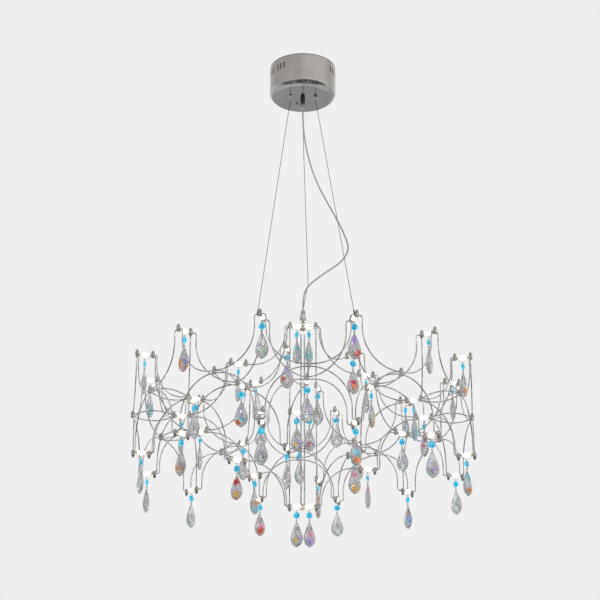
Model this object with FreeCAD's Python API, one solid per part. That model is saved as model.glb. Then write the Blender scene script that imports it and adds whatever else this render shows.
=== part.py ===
"""Crystal chandelier: a round ceiling canopy, three thin suspension wires and a slack power cable,
and below them a double-skinned cage of bent wire that carries small tubular lamps and hanging
crystal drops.

Frame: millimetres, +Z up, the origin on the ceiling at the middle of the canopy. The front is -Y.
A place on a ring is given by its radius and by its turn about Z, counted from the front towards +X.
Every wire is bent the same way: straight out of a ferrule, over a small shoulder, down, and round
one large bend until it lies level at the next ferrule or collar.
"""

import FreeCAD, Part
import math
import os

V = FreeCAD.Vector

# ---------------------------------------------------------------- driving dimensions, mm
# Ceiling canopy
CANOPY_DIA = 146.0
CANOPY_DEPTH = 74.0
CANOPY_WALL = 1.2
CANOPY_EDGE_R = 14.0
VENT_PAIR_TURNS = (-56.5, 76.0, 190.0)   # middle of each pair of vent groups
VENT_PAIR_SPREAD = 27.0                  # degrees between the two groups of a pair
VENT_SLOTS = 3
VENT_STEP = 7.0                          # degrees between slots
VENT_WIDTH = 2.8
VENT_HEIGHT = 15.0
VENT_TOP_GAP = 14.0

# Bracket on the ceiling
BRACKET_THICK = 2.0
BRACKET_WIDTH = 30.0
BRACKET_CROSS_LENGTH = 132.0
BRACKET_TAB_DEPTH = 20.0
BRACKET_PLAY = 0.6                       # between a tab and the canopy's inner wall
BRACKET_CROSS_WIDTH = 30.0
SLOT_SPACING = 80.0
SLOT_LENGTH = 16.0
SLOT_WIDTH = 5.0
SIDE_SCREW_DIA = 4.0
SIDE_SCREW_HEAD_DIA = 8.0
SIDE_SCREW_LENGTH = 9.0
SIDE_SCREW_DOWN = 12.0
SIDE_SCREW_SUNK = 0.15                   # head's flat face under the canopy's wall

# Transformer, terminal block and pan-head screws
TRANSFORMER_LENGTH = 104.0
TRANSFORMER_WIDTH = 50.0
TRANSFORMER_HEIGHT = 28.0
TRANSFORMER_CORNER_R = 4.0
TRANSFORMER_LUG = 11.0
TRANSFORMER_LUG_WIDTH = 22.0
TRANSFORMER_LUG_THICK = 3.0
TERMINAL_LENGTH = 28.0
TERMINAL_WIDTH = 13.0
TERMINAL_HEIGHT = 14.0
TERMINAL_X = 55.0
TERMINAL_WAYS = 3
TERMINAL_WIRE_DIA = 4.0
TERMINAL_SCREW_DIA = 3.4
PAN_SCREW_DIA = 4.0
PAN_HEAD_DIA = 7.6
PAN_HEAD_HEIGHT = 2.6
PAN_HEAD_TOP_DIA = 5.2
PAN_HEAD_RIM = 1.0
PAN_SLOT = 1.0                           # wide and deep
EARTH_SHANK = 7.0
EARTH_SCREW_X = -12.0
EARTH_SCREW_Y = 22.0
EARTH_SLOT_TURN = 40.0
HOLE_PLAY = 0.15                         # radial, round a screw
TOUCH_GAP = 0.05                         # between pieces that lie against each other
PAST = 1.0                               # how far a cutting shape runs past the wall it cuts

# Wire grippers and the cable gland, in the canopy's underside
GRIPPER_R = 32.0
GRIPPER_TURNS = (-60.0, 60.0, 180.0)
GRIPPER_DIA = 6.0
GRIPPER_HEAD_DIA = 9.6
GRIPPER_HEAD_HEIGHT = 4.0
GRIPPER_NOSE_DIA = 6.8
GRIPPER_NOSE_HEIGHT = 1.8
GRIPPER_STEM = 16.0
PLUNGER_DIA = 5.2
PLUNGER_OUT = 4.0                        # below the gripper's head
PLUNGER_IN = 1.8                         # inside the head at rest
PLUNGER_TRAVEL = 1.5
PLUNGER_PLAY = 0.1                       # radial, and over it when it is pushed in
PLUNGER_CHAMFER = 0.8
NUT_ACROSS = 10.0
NUT_HEIGHT = 4.0
EARTH_NUT_ACROSS = 7.0
EARTH_NUT_HEIGHT = 3.2
GLAND_DIA = 10.4
GLAND_LENGTH = 13.0
GLAND_MOUTH_DIA = 6.4
GLAND_CAP_DIA = 9.2
GLAND_CAP_LENGTH = 5.6
GLAND_MOUTH_LENGTH = 1.6
GLAND_GROOVE = 0.6                       # deep, and as wide again on each of its sides
GLAND_THREAD_DIA = 8.0
GLAND_STEM = 12.0
GLAND_NUT_ACROSS = 14.0
GLAND_NUT_HEIGHT = 3.5

# Suspension wires and the power cable
SUSPENSION_DIA = 1.2
SUSPENSION_BORE_PLAY = 0.1
SUSPENSION_SHORT = 1.0                   # wire's end inside the gripper's stem
CRIMP_DIA = 2.8
CRIMP_LENGTH = 8.0
CRIMPED_END = 2.0                        # from the eye's top to the wire's end inside the crimp
EYE_BEND_R = 2.6
FRONT_WIRE_STRAIGHT = 1.6                # under the plunger, before the bend
FRONT_WIRE_BEND_R = 6.0
REAR_WIRE_STRAIGHT = 4.0                 # under the plunger, before the first bend
REAR_WIRE_BEND_R = 16.0
REAR_WIRE_REST = (11.5, 15.0, 508.0)     # x, y and depth where it leans on the cable
CABLE_DIA = 3.5
CABLE_ARC_SHARE = 0.45                   # of the shorter run beside a corner

# The cage's rings: lamp circles, and heights of the lamps' axes under the ceiling
TOP_LEVEL = 704.0
CAGE_HEIGHT = 202.0
MID_DROP = 102.0                         # middle lamps under the top lamps
OUTER_COLUMNS = 12
OUTER_LAMP_R = 332.0
MID_LAMP_R = 248.0
INNER_COLUMNS = 6
INNER_LAMP_R = 138.0
CROSSBAR = 32.0                          # between the two ferrules of a lamp
FIRST_COLUMN = 15.0                      # turn of the first outer column
FIRST_INNER_COLUMN = 45.0

# The middle column: two lamps end to end at three levels, and the rods behind them
CENTRE_TOP_RISE = 94.0
CENTRE_MID_DROP = 93.0
CENTRE_BOTTOM_DROP = 288.0
CENTRE_LAMP_X = 12.75
CENTRE_FERRULE_X = 27.0
POST_DIA = 3.2
POST_X = 3.6
POST_BACK = 16.0
ARM_DIA = 3.0
CLAMP_HEIGHT = 7.0
CONE_HEIGHT = 26.0
CONE_BASE_DIA = 14.0
CONE_TOP_DIA = 9.0
CONE_FLANK_DIA = 10.2
CONE_FLANK_DOWN = 5.0
CONE_BAND = 8.0                          # height of the straight band at its foot
CONE_CHAMFER = 1.5
CONE_RISE = 9.0                          # cone's foot above the top lamps' axis

# Cage wire
WIRE_DIA = 2.5
SHOULDER = 11.0
SHOULDER_R = 5.0
WIRE_PAIR_HALF = 2.6                     # half the height between two wires at one ferrule
LENS_BULGE = 8.0
LEAST_UPRIGHT = 4.0

# Ferrules and junction collars
FERRULE_DIA = 7.6
FERRULE_HALF = 4.2
FERRULE_TIP = 7.0
TIP_SHAPE = ((0.0, 1.0), (0.40, 0.86), (0.75, 0.56), (0.94, 0.30), (1.0, 0.15))   # height, width as shares
PIN_CHAMFER = 0.5
COLLAR_DIA = 8.0
COLLAR_HALF = 4.6
COLLAR_TIP = 7.0

# Lamps
LAMP_LENGTH = 20.0
LAMP_DIA = 9.0
LAMP_NECK_DIA = 5.4
LAMP_TAPER = 3.2
LAMP_TAPER_KNEE = 1.9
LAMP_KNEE_DIA = 8.0
LAMP_CAP_LENGTH = 1.8
LAMP_CAP_DIA = 6.0
LAMP_CAP_CONE = 0.9
LAMP_CAP_END_DIA = 2.6
SPIGOT_DIA = 3.6

# Slings and crystal drops
SLING_DIA = 0.8
SLING_DEPTH = 7.0
SLING_FLAT = 9.0                         # between its two lower corners, before they are rounded
SLING_END = 1.4                          # sling's end past the lamp's tip
SLING_BEND_R = 3.0
HOOK_DIA = 0.7
HOOK_EYE_R = 1.6
HOOK_PLAY = 0.12
HOOK_KNOT_DIA = 1.9
HOOK_LOOP_R = 2.2
LINK_LOOP_R = 1.8
LINK_STEM_DIA = 1.0
LOOP_SEAT_GAP = 0.3                      # a loop touches a drilled hole at its mouths, not inside
DRILL_DIA = 1.6
OCTAGON_ACROSS = 13.0
OCTAGON_THICK = 6.0
OCTAGON_RIM = 1.2                        # thickness of its edge
OCTAGON_TABLE_DIA = 5.0
OCTAGON_DRILL_EDGE = 2.0                 # from its edge to the middle of a hole
SMALL_BEAD_DIA = 4.0
SMALL_BEAD_SIDES = 8
ALMOND_LENGTH = 50.0
ALMOND_WIDTH = 28.0
ALMOND_THICK = 12.0
ALMOND_DRILL_EDGE = 2.4
# How far each crystal hangs twisted from facing outwards, in degrees, read from the photo where it
# shows. Outer columns and middle lamps go round in the order of their turns, and so do the inner ones.
TOP_TWISTS = (4, 23, -19, -8, -20, 10, 0, 10, -9, -10, 0, -10)
BOTTOM_TWISTS = (20, -29, -28, 27, -20, 12, 18, 6, 0, 8, 0, -10)
MID_TWISTS = (0, 40, 7, 25, 28, 15, 36, 10, 17, 0, 12, 10)
INNER_TOP_TWISTS = (-21, 0, -15, 30, 0, 10)
INNER_BOTTOM_TWISTS = (-21, -19, -75, 7, 44, -45)
CENTRE_TWISTS = (60, 32, 30)             # at the three levels, mirrored for the two lamps

# ---------------------------------------------------------------- worked-out sizes
SAME_PLACE = 1e-6
FERRULE_R = FERRULE_DIA / 2
COLLAR_R = COLLAR_DIA / 2
LUG_SCREW_Y = (TRANSFORMER_LENGTH + TRANSFORMER_LUG) / 2
TOP_Z = -TOP_LEVEL
BOTTOM_Z = TOP_Z - CAGE_HEIGHT
MID_Z = TOP_Z - MID_DROP
UPPER_PAIR_Z = MID_Z + WIRE_PAIR_HALF
LOWER_PAIR_Z = MID_Z - WIRE_PAIR_HALF
END_LEVELS = ((TOP_Z, UPPER_PAIR_Z), (BOTTOM_Z, LOWER_PAIR_Z))
OUTER_SKIN_R = OUTER_LAMP_R + CROSSBAR / 2
INNER_SKIN_R = OUTER_LAMP_R - CROSSBAR / 2
OUTER_STEP = 360.0 / OUTER_COLUMNS
INNER_STEP = 360.0 / INNER_COLUMNS
OUTER_TURNS = [FIRST_COLUMN + OUTER_STEP * n for n in range(OUTER_COLUMNS)]
MID_TURNS = [OUTER_STEP * n for n in range(OUTER_COLUMNS)]
INNER_TURNS = [FIRST_INNER_COLUMN + INNER_STEP * n for n in range(INNER_COLUMNS)]
CENTRE_LEVELS = (TOP_Z + CENTRE_TOP_RISE, TOP_Z - CENTRE_MID_DROP, TOP_Z - CENTRE_BOTTOM_DROP)
CANOPY_R = CANOPY_DIA / 2
CANOPY_INNER_R = CANOPY_R - CANOPY_WALL
FLOOR_TOP_Z = -CANOPY_DEPTH + CANOPY_WALL
CONE_FOOT_Z = CENTRE_LEVELS[0] + CONE_RISE
CONE_TOP_Z = CONE_FOOT_Z + CONE_HEIGHT
CABLE_IN_CONE = V(0.0, -1.6, CONE_TOP_Z)
WIRE_IN_CONE = V(0.0, 2.8, CONE_TOP_Z)
HOOK_EYE_Z = -(HOOK_EYE_R - HOOK_DIA / 2 - SLING_DIA / 2 - HOOK_PLAY)
KNOT_Z = HOOK_EYE_Z - HOOK_EYE_R
HOOK_LOOP_Z = KNOT_Z - HOOK_LOOP_R
SEAM_UP, SEAM_DOWN = 0.0, 180.0          # turns of a wire ring

# The power cable's route from the gland to the cone, chosen by eye
CABLE_ROUTE = (
    V(0, 0, -CANOPY_DEPTH - GLAND_LENGTH),
    V(0, 0, -131),
    V(4, -4, -179),
    V(13, -12, -230),
    V(27, -19, -281),
    V(48, -22, -328),
    V(70, -20, -368),
    V(88, -10, -402),
    V(100, 4, -430),
    V(87, 16, -453),
    V(62, 17, -472),
    V(39, 13, -490),
    V(19, 8, -508),
    V(5, 2, -527),
    CABLE_IN_CONE + V(0, 0, 22),
    CABLE_IN_CONE,
)


# ---------------------------------------------------------------- helpers
def on_ring(radius, turn, z):
    """The point at this radius and turn, where turn 0 is the front."""
    a = math.radians(turn)
    return V(radius * math.sin(a), -radius * math.cos(a), z)


def turned(shape, turn):
    """A copy of the shape, turned about the chandelier's axis."""
    copy = shape.copy()
    copy.rotate(V(0, 0, 0), V(0, 0, 1), turn)
    return copy


def moved(shape, x, y, z, turn=0.0):
    """A copy turned about its own vertical axis and then moved."""
    copy = turned(shape, turn)
    copy.translate(V(x, y, z))
    return copy


def placed(shape, radius, turn, z):
    """A copy whose own -Y side faces outwards, on a ring."""
    p = on_ring(radius, turn, z)
    return moved(shape, p.x, p.y, p.z, turn)


def cylinder(dia, height, x=0.0, y=0.0, z=0.0, axis=V(0, 0, 1)):
    return Part.makeCylinder(dia / 2, height, V(x, y, z), axis)


def box(x0, x1, y0, y1, z0, z1):
    return Part.makeBox(x1 - x0, y1 - y0, z1 - z0, V(x0, y0, z0))


def revolved(profile):
    """A solid of revolution about Z. The profile is a closed list of (radius, height)."""
    points = [V(r, 0, z) for r, z in profile]
    face = Part.Face(Part.makePolygon(points + points[:1]))
    return face.revolve(V(0, 0, 0), V(0, 0, 1), 360)


def hexagon(across, height, x, y, z):
    corners = [V(x + across / math.sqrt(3) * math.cos(math.radians(60 * k)),
                 y + across / math.sqrt(3) * math.sin(math.radians(60 * k)), z) for k in range(7)]
    return Part.Face(Part.makePolygon(corners)).extrude(V(0, 0, height))


def arc_by_centre(centre, start, end):
    """The shorter circular edge about a centre."""
    middle = (start + end) * 0.5 - centre
    middle.normalize()
    return Part.Arc(start, centre + middle * (start - centre).Length, end).toShape()


def line(start, end):
    return Part.LineSegment(start, end).toShape()


def tube(edges, dia):
    """A round bar along a path of lines and tangent arcs."""
    path = Part.Wire(edges)
    start = edges[0].valueAt(edges[0].FirstParameter)
    direction = edges[0].tangentAt(edges[0].FirstParameter)
    ring = Part.Wire([Part.Circle(start, direction, dia / 2).toShape()])
    bar = path.makePipeShell([ring], True, False)
    if bar.Volume < 0:
        bar.reverse()
    return bar


def bent_bar(points, bend_r, dia):
    """A bar along straight runs, each corner rounded with the same radius."""
    edges = []
    here = points[0]
    for k in range(1, len(points) - 1):
        back = (points[k - 1] - points[k]).normalize()
        ahead = (points[k + 1] - points[k]).normalize()
        half = back.getAngle(ahead) / 2
        cut = bend_r / math.tan(half)
        centre = points[k] + (back + ahead).normalize() * (bend_r / math.sin(half))
        a, b = points[k] + back * cut, points[k] + ahead * cut
        if (a - here).Length > SAME_PLACE:
            edges.append(line(here, a))
        edges.append(arc_by_centre(centre, a, b))
        here = b
    if (points[-1] - here).Length > SAME_PLACE:
        edges.append(line(here, points[-1]))
    return tube(edges, dia)


def swoop(start, end, start_gap, end_gap):
    """A cage wire: level out of the start, over the shoulder, upright, and round to level."""
    flat = V(end.x - start.x, end.y - start.y, 0)
    span = flat.Length
    u = flat.normalize()
    rise = end.z - start.z
    s = 1.0 if rise > 0 else -1.0
    big = min(span - SHOULDER - end_gap, abs(rise) - SHOULDER_R - LEAST_UPRIGHT)

    def at(t, z):
        return V(start.x, start.y, 0) + u * t + V(0, 0, z)

    knee = at(SHOULDER, start.z + s * SHOULDER_R)
    foot = at(SHOULDER, end.z - s * big)
    level = at(SHOULDER + big, end.z)
    edges = [
        line(at(start_gap, start.z), at(SHOULDER - SHOULDER_R, start.z)),
        arc_by_centre(at(SHOULDER - SHOULDER_R, knee.z), at(SHOULDER - SHOULDER_R, start.z), knee),
        line(knee, foot),
        arc_by_centre(at(SHOULDER + big, foot.z), foot, level),
    ]
    if span - end_gap - SHOULDER - big > SAME_PLACE:
        edges.append(line(level, at(span - end_gap, end.z)))
    return tube(edges, WIRE_DIA)


def compound(solids):
    return Part.makeCompound(solids)


# ---------------------------------------------------------------- canopy and what is in it
def canopy_shell():
    """A drawn cup, open towards the ceiling, with vents, and holes for what passes through it."""
    cup = cylinder(CANOPY_DIA, CANOPY_DEPTH, z=-CANOPY_DEPTH)
    lower = [e for e in cup.Edges if abs(e.BoundBox.ZMax + CANOPY_DEPTH) < SAME_PLACE]
    cup = cup.makeFillet(CANOPY_EDGE_R, lower)
    hollow = cylinder(2 * CANOPY_INNER_R, CANOPY_DEPTH, z=FLOOR_TOP_Z)
    lower = [e for e in hollow.Edges if abs(e.BoundBox.ZMax - FLOOR_TOP_Z) < SAME_PLACE]
    hollow = hollow.makeFillet(CANOPY_EDGE_R - CANOPY_WALL, lower)
    cup = cup.cut(hollow)
    cuts = []
    slot = box(-VENT_WIDTH / 2, VENT_WIDTH / 2, -CANOPY_R - PAST, -CANOPY_INNER_R + PAST,
               -VENT_TOP_GAP - VENT_HEIGHT, -VENT_TOP_GAP)
    for pair in VENT_PAIR_TURNS:
        for side in (-0.5, 0.5):
            for n in range(VENT_SLOTS):
                turn = pair + side * VENT_PAIR_SPREAD + (n - (VENT_SLOTS - 1) / 2) * VENT_STEP
                cuts.append(turned(slot, turn))
    holes = [(on_ring(GRIPPER_R, turn, 0), GRIPPER_DIA) for turn in GRIPPER_TURNS]
    holes += [(V(0, 0, 0), GLAND_THREAD_DIA), (V(EARTH_SCREW_X, EARTH_SCREW_Y, 0), PAN_SCREW_DIA)]
    for p, dia in holes:
        cuts.append(cylinder(dia + 2 * HOLE_PLAY, CANOPY_WALL + 2 * PAST, p.x, p.y, -CANOPY_DEPTH - PAST))
    for side in (-1, 1):
        cuts.append(side_screw_space(side, HOLE_PLAY))
    return cup.cut(compound(cuts))


def side_screw_space(side, play):
    """The shape of a countersunk side screw, or of its hole when play is more than 0."""
    head_r = SIDE_SCREW_HEAD_DIA / 2 + play
    shank_r = SIDE_SCREW_DIA / 2 + play
    deep = head_r - shank_r
    shape = revolved([(0, 0), (head_r, 0), (shank_r, deep), (shank_r, SIDE_SCREW_LENGTH),
                      (0, SIDE_SCREW_LENGTH)])
    shape.rotate(V(0, 0, 0), V(0, 1, 0), -90 * side)
    shape.translate(V(side * (CANOPY_R - SIDE_SCREW_SUNK), 0, -SIDE_SCREW_DOWN))
    return shape


def canopy_screws():
    return compound([side_screw_space(side, 0.0) for side in (-1, 1)])


def ceiling_bracket():
    """A cross of flat steel. Its longer bar is turned down at both ends to take the canopy."""
    reach = math.sqrt((CANOPY_INNER_R - BRACKET_PLAY) ** 2 - (BRACKET_WIDTH / 2) ** 2)
    half = BRACKET_WIDTH / 2
    bar = box(-reach, reach, -half, half, -BRACKET_THICK, 0)
    cross = box(-BRACKET_CROSS_WIDTH / 2, BRACKET_CROSS_WIDTH / 2,
                -BRACKET_CROSS_LENGTH / 2, BRACKET_CROSS_LENGTH / 2, -BRACKET_THICK, 0)
    solid = bar.fuse(cross)
    for side in (-1, 1):
        x = sorted((side * reach, side * (reach - BRACKET_THICK)))
        solid = solid.fuse(box(x[0], x[1], -half, half, -BRACKET_TAB_DEPTH, 0))
    solid = solid.removeSplitter()
    run = (SLOT_LENGTH - SLOT_WIDTH) / 2
    below, through = -BRACKET_THICK - PAST, BRACKET_THICK + 2 * PAST
    cuts = []
    for side in (-1, 1):
        x = side * SLOT_SPACING / 2
        cuts.append(box(x - run, x + run, -SLOT_WIDTH / 2, SLOT_WIDTH / 2, below, PAST))
        for end in (-run, run):
            cuts.append(cylinder(SLOT_WIDTH, through, x + end, 0, below))
        cuts.append(cylinder(SIDE_SCREW_DIA, through, side * (reach - BRACKET_THICK - PAST), 0,
                             -SIDE_SCREW_DOWN, V(side, 0, 0)))
        cuts.append(cylinder(PAN_SCREW_DIA, through, 0, side * LUG_SCREW_Y, below))
    return solid.cut(compound(cuts))


def transformer():
    """The encased transformer, hung under the cross bar by a lug at each end."""
    half_l, half_w = TRANSFORMER_LENGTH / 2, TRANSFORMER_WIDTH / 2
    top = -BRACKET_THICK
    case = box(-half_w, half_w, -half_l, half_l, top - TRANSFORMER_HEIGHT, top)
    upright = [e for e in case.Edges if abs(e.BoundBox.ZLength - TRANSFORMER_HEIGHT) < SAME_PLACE]
    case = case.makeFillet(TRANSFORMER_CORNER_R, upright)
    low = top - TRANSFORMER_LUG_THICK
    for side in (-1, 1):
        y = sorted((side * (half_l - PAST), side * (half_l + TRANSFORMER_LUG)))
        lug = box(-TRANSFORMER_LUG_WIDTH / 2, TRANSFORMER_LUG_WIDTH / 2, y[0], y[1], low, top)
        case = case.fuse(lug)
        case = case.cut(cylinder(PAN_SCREW_DIA + 2 * HOLE_PLAY, TRANSFORMER_LUG_THICK + 2 * PAST,
                                 0, side * LUG_SCREW_Y, low - PAST))
    return case


def pan_screw(shank):
    """Head down, shank up, with its head's flat face at z = 0."""
    screw = revolved([(0, -PAN_HEAD_HEIGHT), (PAN_HEAD_TOP_DIA / 2, -PAN_HEAD_HEIGHT),
                      (PAN_HEAD_DIA / 2, -PAN_HEAD_RIM), (PAN_HEAD_DIA / 2, 0),
                      (PAN_SCREW_DIA / 2, 0), (PAN_SCREW_DIA / 2, shank), (0, shank)])
    slot = box(-PAN_HEAD_DIA, PAN_HEAD_DIA, -PAN_SLOT / 2, PAN_SLOT / 2,
               -PAN_HEAD_HEIGHT - PAST, -PAN_HEAD_HEIGHT + PAN_SLOT)
    return screw.cut(slot)


def pan_head_screws():
    """Two hold the transformer to the bracket, and one is the earth screw in the underside."""
    holding = pan_screw(TRANSFORMER_LUG_THICK + BRACKET_THICK)
    z = -BRACKET_THICK - TRANSFORMER_LUG_THICK
    return compound([
        moved(holding, 0, LUG_SCREW_Y, z),
        moved(holding, 0, -LUG_SCREW_Y, z),
        moved(pan_screw(EARTH_SHANK), EARTH_SCREW_X, EARTH_SCREW_Y, -CANOPY_DEPTH, EARTH_SLOT_TURN),
    ])


def terminal_block():
    """A block of screw terminals under the bracket, with a wire hole and a screw hole per way."""
    top = -BRACKET_THICK
    x0, x1 = TERMINAL_X - TERMINAL_WIDTH / 2, TERMINAL_X + TERMINAL_WIDTH / 2
    half = TERMINAL_LENGTH / 2
    block = box(x0, x1, -half, half, top - TERMINAL_HEIGHT, top)
    pitch = TERMINAL_LENGTH / TERMINAL_WAYS
    middle = top - TERMINAL_HEIGHT / 2
    for n in range(TERMINAL_WAYS):
        y = (n - (TERMINAL_WAYS - 1) / 2) * pitch
        across = cylinder(TERMINAL_WIRE_DIA, TERMINAL_WIDTH + 2 * PAST, x0 - PAST, y, middle, V(1, 0, 0))
        down = cylinder(TERMINAL_SCREW_DIA, TERMINAL_HEIGHT / 2 + PAST, TERMINAL_X, y,
                        top - TERMINAL_HEIGHT - PAST)
        block = block.cut(across).cut(down)
    return block


def gripper_bodies():
    """Bodies through the canopy's underside, bored for the wire and below for the plunger."""
    bore_r = SUSPENSION_DIA / 2 + SUSPENSION_BORE_PLAY
    pocket_r = PLUNGER_DIA / 2 + PLUNGER_PLAY
    z = -CANOPY_DEPTH
    low = z - GRIPPER_HEAD_HEIGHT
    pocket_top = low + PLUNGER_IN + PLUNGER_TRAVEL + PLUNGER_PLAY
    head_r = GRIPPER_HEAD_DIA / 2
    body = revolved([
        (pocket_r, low), (GRIPPER_NOSE_DIA / 2, low), (head_r, low + GRIPPER_NOSE_HEIGHT),
        (head_r, z), (GRIPPER_DIA / 2, z), (GRIPPER_DIA / 2, z + GRIPPER_STEM),
        (bore_r, z + GRIPPER_STEM), (bore_r, pocket_top), (pocket_r, pocket_top),
    ])
    return compound([placed(body, GRIPPER_R, turn, 0) for turn in GRIPPER_TURNS])


def plunger(turn):
    """The release plunger that is pushed up to let the wire slide."""
    bore_r = SUSPENSION_DIA / 2 + SUSPENSION_BORE_PLAY
    low = -CANOPY_DEPTH - GRIPPER_HEAD_HEIGHT - PLUNGER_OUT
    top = low + PLUNGER_OUT + PLUNGER_IN
    r = PLUNGER_DIA / 2
    nose = revolved([(bore_r, low), (r - PLUNGER_CHAMFER, low), (r, low + PLUNGER_CHAMFER),
                     (r, top), (bore_r, top)])
    return placed(nose, GRIPPER_R, turn, 0)


def gripper_plunger_left():
    return plunger(GRIPPER_TURNS[0])


def gripper_plunger_right():
    return plunger(GRIPPER_TURNS[1])


def gripper_plunger_rear():
    return plunger(GRIPPER_TURNS[2])


def canopy_nuts():
    """Inside the canopy: one nut on each gripper, one on the gland and one on the earth screw."""
    places = [(on_ring(GRIPPER_R, turn, FLOOR_TOP_Z), NUT_ACROSS, NUT_HEIGHT, GRIPPER_DIA)
              for turn in GRIPPER_TURNS]
    places.append((V(0, 0, FLOOR_TOP_Z), GLAND_NUT_ACROSS, GLAND_NUT_HEIGHT, GLAND_THREAD_DIA))
    places.append((V(EARTH_SCREW_X, EARTH_SCREW_Y, FLOOR_TOP_Z), EARTH_NUT_ACROSS, EARTH_NUT_HEIGHT,
                   PAN_SCREW_DIA))
    nuts = []
    for p, across, height, hole in places:
        nut = hexagon(across, height, p.x, p.y, p.z)
        nuts.append(nut.cut(cylinder(hole, height + 2 * PAST, p.x, p.y, p.z - PAST)))
    return compound(nuts)


def cable_gland():
    """A ribbed tubular gland closed round the cable, with a hollow threaded stem."""
    bore_r = CABLE_DIA / 2
    z = -CANOPY_DEPTH
    low = z - GLAND_LENGTH
    cap_r = GLAND_CAP_DIA / 2
    groove_z = low + GLAND_CAP_LENGTH + GLAND_GROOVE
    return revolved([
        (0, low), (GLAND_MOUTH_DIA / 2, low), (cap_r, low + GLAND_MOUTH_LENGTH),
        (cap_r, low + GLAND_CAP_LENGTH), (cap_r - GLAND_GROOVE, groove_z),
        (GLAND_DIA / 2, groove_z + GLAND_GROOVE), (GLAND_DIA / 2, z),
        (GLAND_THREAD_DIA / 2, z), (GLAND_THREAD_DIA / 2, z + GLAND_STEM),
        (bore_r, z + GLAND_STEM), (bore_r, z), (0, z),
    ])


# ---------------------------------------------------------------- suspension and cable
def suspension_wires():
    """Two wires end in an eye round a front shoulder of the cage, and the third in the cone."""
    solids = []
    inside = V(0, 0, GRIPPER_STEM - SUSPENSION_SHORT)
    for turn, column in ((GRIPPER_TURNS[0], -FIRST_COLUMN), (GRIPPER_TURNS[1], FIRST_COLUMN)):
        top = on_ring(GRIPPER_R, turn, -CANOPY_DEPTH)
        below = top - V(0, 0, GRIPPER_HEAD_HEIGHT + PLUNGER_OUT + FRONT_WIRE_STRAIGHT)
        ferrule = on_ring(OUTER_SKIN_R, column, TOP_Z)
        neighbour = on_ring(OUTER_SKIN_R, column - OUTER_STEP / 2, TOP_Z)
        along = (neighbour - ferrule).normalize()
        held = ferrule + along * ((SHOULDER - SHOULDER_R + FERRULE_DIA / 2) / 2)
        eye_at = held + V(0, 0, EYE_BEND_R - SUSPENSION_DIA / 2 - WIRE_DIA / 2 - TOUCH_GAP)
        eye = Part.makeTorus(EYE_BEND_R, SUSPENSION_DIA / 2, eye_at, along)
        foot = eye_at + V(0, 0, EYE_BEND_R)
        pull = (below - foot).normalize()
        crimp = Part.makeCylinder(CRIMP_DIA / 2, CRIMP_LENGTH, foot, pull)
        path = [foot + pull * CRIMPED_END, below, top + inside]
        solids.append(bent_bar(path, FRONT_WIRE_BEND_R, SUSPENSION_DIA).fuse([eye, crimp]))
    top = on_ring(GRIPPER_R, GRIPPER_TURNS[2], -CANOPY_DEPTH)
    below = top - V(0, 0, GRIPPER_HEAD_HEIGHT + PLUNGER_OUT + REAR_WIRE_STRAIGHT)
    x, y, depth = REAR_WIRE_REST
    path = [top + inside, below, V(x, y, -depth), WIRE_IN_CONE]
    solids.append(bent_bar(path, REAR_WIRE_BEND_R, SUSPENSION_DIA))
    return compound(solids)


def power_cable():
    """The slack cable: straight runs with the largest arc that each corner has room for."""
    edges = []
    here = CABLE_ROUTE[0]
    for k in range(1, len(CABLE_ROUTE) - 1):
        a, b, c = CABLE_ROUTE[k - 1:k + 2]
        back, ahead = a - b, c - b
        cut = CABLE_ARC_SHARE * min(back.Length, ahead.Length)
        back.normalize()
        ahead.normalize()
        half_turn = (math.pi - back.getAngle(ahead)) / 2
        radius = cut / math.tan(half_turn)
        centre = b + (back + ahead).normalize() * (radius / math.cos(half_turn))
        start, end = b + back * cut, b + ahead * cut
        edges.append(line(here, start))
        edges.append(arc_by_centre(centre, start, end))
        here = end
        print("cable corner", k, "radius", round(radius, 1), "turn", round(math.degrees(2 * half_turn)))
    edges.append(line(here, CABLE_ROUTE[-1]))
    solid = tube(edges, CABLE_DIA)
    length = sum(e.Length for e in edges)
    print("cable length", round(length, 1), "volume", round(solid.Volume, 1),
          "section x length", round(math.pi * CABLE_DIA ** 2 / 4 * length, 1))
    return solid


def cable_cone():
    """The turned cone on the middle column that takes the cable and the third wire."""
    r = CONE_BASE_DIA / 2
    return revolved([
        (0, CONE_FOOT_Z), (r - CONE_CHAMFER, CONE_FOOT_Z), (r, CONE_FOOT_Z + CONE_CHAMFER),
        (r, CONE_FOOT_Z + CONE_BAND), (CONE_FLANK_DIA / 2, CONE_TOP_Z - CONE_FLANK_DOWN),
        (CONE_TOP_DIA / 2, CONE_TOP_Z), (0, CONE_TOP_Z),
    ])


# ---------------------------------------------------------------- cage wires
def both_ways(radius_a, radius_b, z_a, z_b, gap_a, gap_b):
    """The two mirrored wires from a column to its neighbours half a step away, at turn 0."""
    return [swoop(on_ring(radius_a, 0, z_a), on_ring(radius_b, side * OUTER_STEP / 2, z_b), gap_a, gap_b)
            for side in (-1, 1)]


def ring_of(solids, turns):
    return compound([turned(s, turn) for turn in turns for s in solids])


def outer_skin_wires():
    """From each outer ferrule, top and bottom, to the junction collars on both sides of it."""
    wires = []
    for z_end, z_mid in END_LEVELS:
        wires += both_ways(OUTER_SKIN_R, OUTER_SKIN_R, z_end, z_mid, FERRULE_R, COLLAR_R)
    return ring_of(wires, OUTER_TURNS)


def inner_skin_wires():
    """From the inner ferrule of each outer lamp to the outer ferrules of two middle lamps."""
    wires = []
    for z_end, z_mid in END_LEVELS:
        wires += both_ways(INNER_SKIN_R, MID_LAMP_R + CROSSBAR / 2, z_end, z_mid, FERRULE_R, FERRULE_R)
    return ring_of(wires, OUTER_TURNS)


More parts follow.
